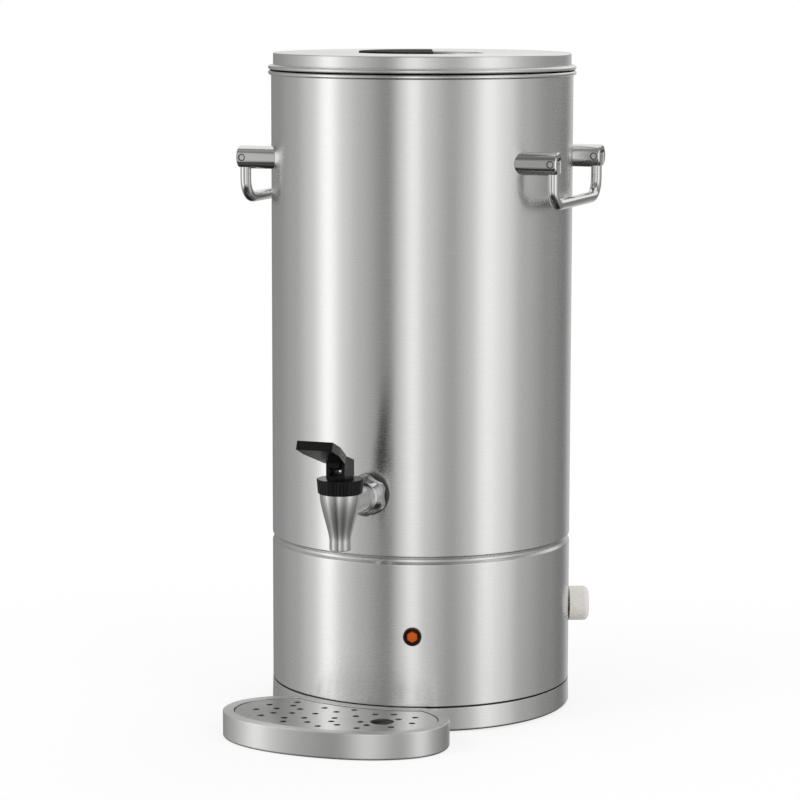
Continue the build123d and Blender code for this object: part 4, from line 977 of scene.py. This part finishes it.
tent_sides, tent_radius, tent_foot, tent_top, back_dip = 96, 1.6, -1.6, 2.0, 1.38
shape = bmesh.new()
foot_ring, top_ring = [], []
for k in range(tent_sides):
    turn = 2 * pi * k / tent_sides
    behind = min(max((sin(turn) - 0.55) / 0.25, 0), 1)
    for ring, height in ((foot_ring, tent_foot), (top_ring, tent_top - back_dip * behind)):
        ring.append(shape.verts.new((tent_radius * cos(turn), tent_radius * sin(turn), height)))
for k in range(tent_sides):
    m = (k + 1) % tent_sides
    shape.faces.new((foot_ring[k], foot_ring[m], top_ring[m], top_ring[k]))
shape.faces.new(foot_ring)
shape.faces.new(top_ring[tent_sides // 2:] + top_ring[:1])
tent = finished("light_tent", shape)
cloth = bpy.data.materials.new("tent_cloth")
tree = bare_tree(cloth)
place = add(tree, "ShaderNodeTexCoord").outputs["Object"]
x, y, z = add(tree, "ShaderNodeSeparateXYZ", {"Vector": place}).outputs
turn = sums(tree, "ARCTAN2", x, sums(tree, "MULTIPLY", y, -1.0))
ramp = add(tree, "ShaderNodeValToRGB", {"Fac": spread(tree, turn, 0.0, 1.0, -pi, pi)})
ramp.color_ramp.interpolation = "EASE"
brightest = 1.5
# Each panel is an angle round the urn, from its front towards its right, and a brightness.
panels = ((-180, 0.60), (-146, 0.26), (-120, 0.32), (-90, 0.48), (-70, 0.78), (-54, 1.50), (-40, 0.84),
          (-26, 0.60), (-4, 0.28), (4, 0.84), (13, 1.34), (23, 0.80), (42, 0.46), (54, 0.70), (69, 1.28),
          (84, 0.96), (100, 0.56), (130, 0.34), (156, 0.22), (180, 0.60))
stops = ramp.color_ramp.elements
for n in range(len(panels)):
    stop = stops[n] if n < 2 else stops.new(0.5)
    stop.position = n / (len(panels) - 1)
for stop, (_, level) in zip(list(stops), panels):
    stop.color = (*[level / brightest] * 3, 1)
for stop, (angle, _) in zip(list(stops), panels):
    stop.position = (angle + 180) / 360
low = spread(tree, z, 0.07, 1.0, -1.05, -0.35)
high = spread(tree, z, 1.0, 0.3, 1.1, 1.9)
dimmed = sums(tree, "MULTIPLY", sums(tree, "MULTIPLY", low, high), brightest)
light = add(tree, "ShaderNodeEmission", {"Color": ramp.outputs["Color"], "Strength": dimmed})
add(tree, "ShaderNodeOutputMaterial", {"Surface": light.outputs[0]})
cloth.cycles.emission_sampling = "NONE"
tent.data.materials.append(cloth)
unseen(tent, "camera", "diffuse", "shadow", "transmission", "volume_scatter")

# ---- Floor and air ----
# The floor is a plain pale disc that fades into the white behind it and keeps a soft shadow under the urn.
# The air all round is white to look at, and lights the urn evenly.


def seen_ray(tree):
    """One where the ray comes from the eye, or by way of a mirror or glass."""
    path = add(tree, "ShaderNodeLightPath").outputs
    seen = sums(tree, "MAXIMUM", path["Is Camera Ray"], path["Is Glossy Ray"])
    return sums(tree, "MAXIMUM", seen, path["Is Transmission Ray"])


floor_middle, floor_radius = Vector((0, -0.05, 0)), 0.62
just_below = Vector((0, 0, -0.0002))
shape = bmesh.new()
bmesh.ops.create_circle(shape, cap_ends=True, cap_tris=True, segments=96, radius=floor_radius)
floor = finished("pale_floor", shape, Matrix.Translation(floor_middle + just_below))
pale = bpy.data.materials.new("pale_floor")
tree = bare_tree(pale)
place = add(tree, "ShaderNodeTexCoord").outputs["Object"]
away = add(tree, "ShaderNodeVectorMath", {0: place, 1: tuple(floor_middle)}, operation="DISTANCE")
fade = spread(tree, away.outputs["Value"], 0.8, 1.0, 0.18, 0.6)
matt = add(tree, "ShaderNodeBsdfDiffuse", {"Color": (0.9, 0.9, 0.9, 1)})
white = add(tree, "ShaderNodeEmission", {"Color": (1, 1, 1, 1), "Strength": 1.0})
share = sums(tree, "MULTIPLY", fade, seen_ray(tree))
mix = add(tree, "ShaderNodeMixShader", {0: share, 1: matt.outputs[0], 2: white.outputs[0]})
add(tree, "ShaderNodeOutputMaterial", {"Surface": mix.outputs[0]})
floor.data.materials.append(pale)
unseen(floor, "glossy")

world = bpy.data.worlds.new("white_air")
bpy.context.scene.world = world
tree = bare_tree(world)
strength = spread(tree, seen_ray(tree), 0.7, 1.0, 0.0, 1.0)
air = add(tree, "ShaderNodeBackground", {"Color": (1, 1, 1, 1), "Strength": strength})
add(tree, "ShaderNodeOutputWorld", {"Surface": air.outputs[0]})

# ---- Lamps and camera ----
# Two wide soft lamps stand high in front, one each side, and a third is behind.
# The camera looks a little down at the urn from its front right.
lit_point = Vector((0, 0, 0.25))
for name, spot, size, power in (
    ("key_lamp", (-1.3, -1.7, 2.1), 1.2, 22),
    ("fill_lamp", (1.7, -1.0, 1.8), 1.2, 12),
    ("back_lamp", (0.3, 1.6, 2.2), 1.4, 12),
):
    lamp = bpy.data.lights.new(name, "AREA")
    lamp.shape, lamp.size, lamp.energy = "DISK", size, power
    stand = stood(name, lamp)
    stand.location = spot
    stand.rotation_euler = (lit_point - Vector(spot)).to_track_quat("-Z", "Y").to_euler()
    unseen(stand, "glossy")

lens = bpy.data.cameras.new("camera")
lens.lens, lens.sensor_width, lens.clip_start = 137.33, 36, 0.05
camera = stood("camera", lens)
camera.location = (0.7628, -2.1532, 0.5514)
camera.rotation_euler = (radians(81.988), radians(-0.1), radians(19.926))
bpy.context.scene.camera = camera
bpy.context.scene.view_settings.view_transform = "Standard"
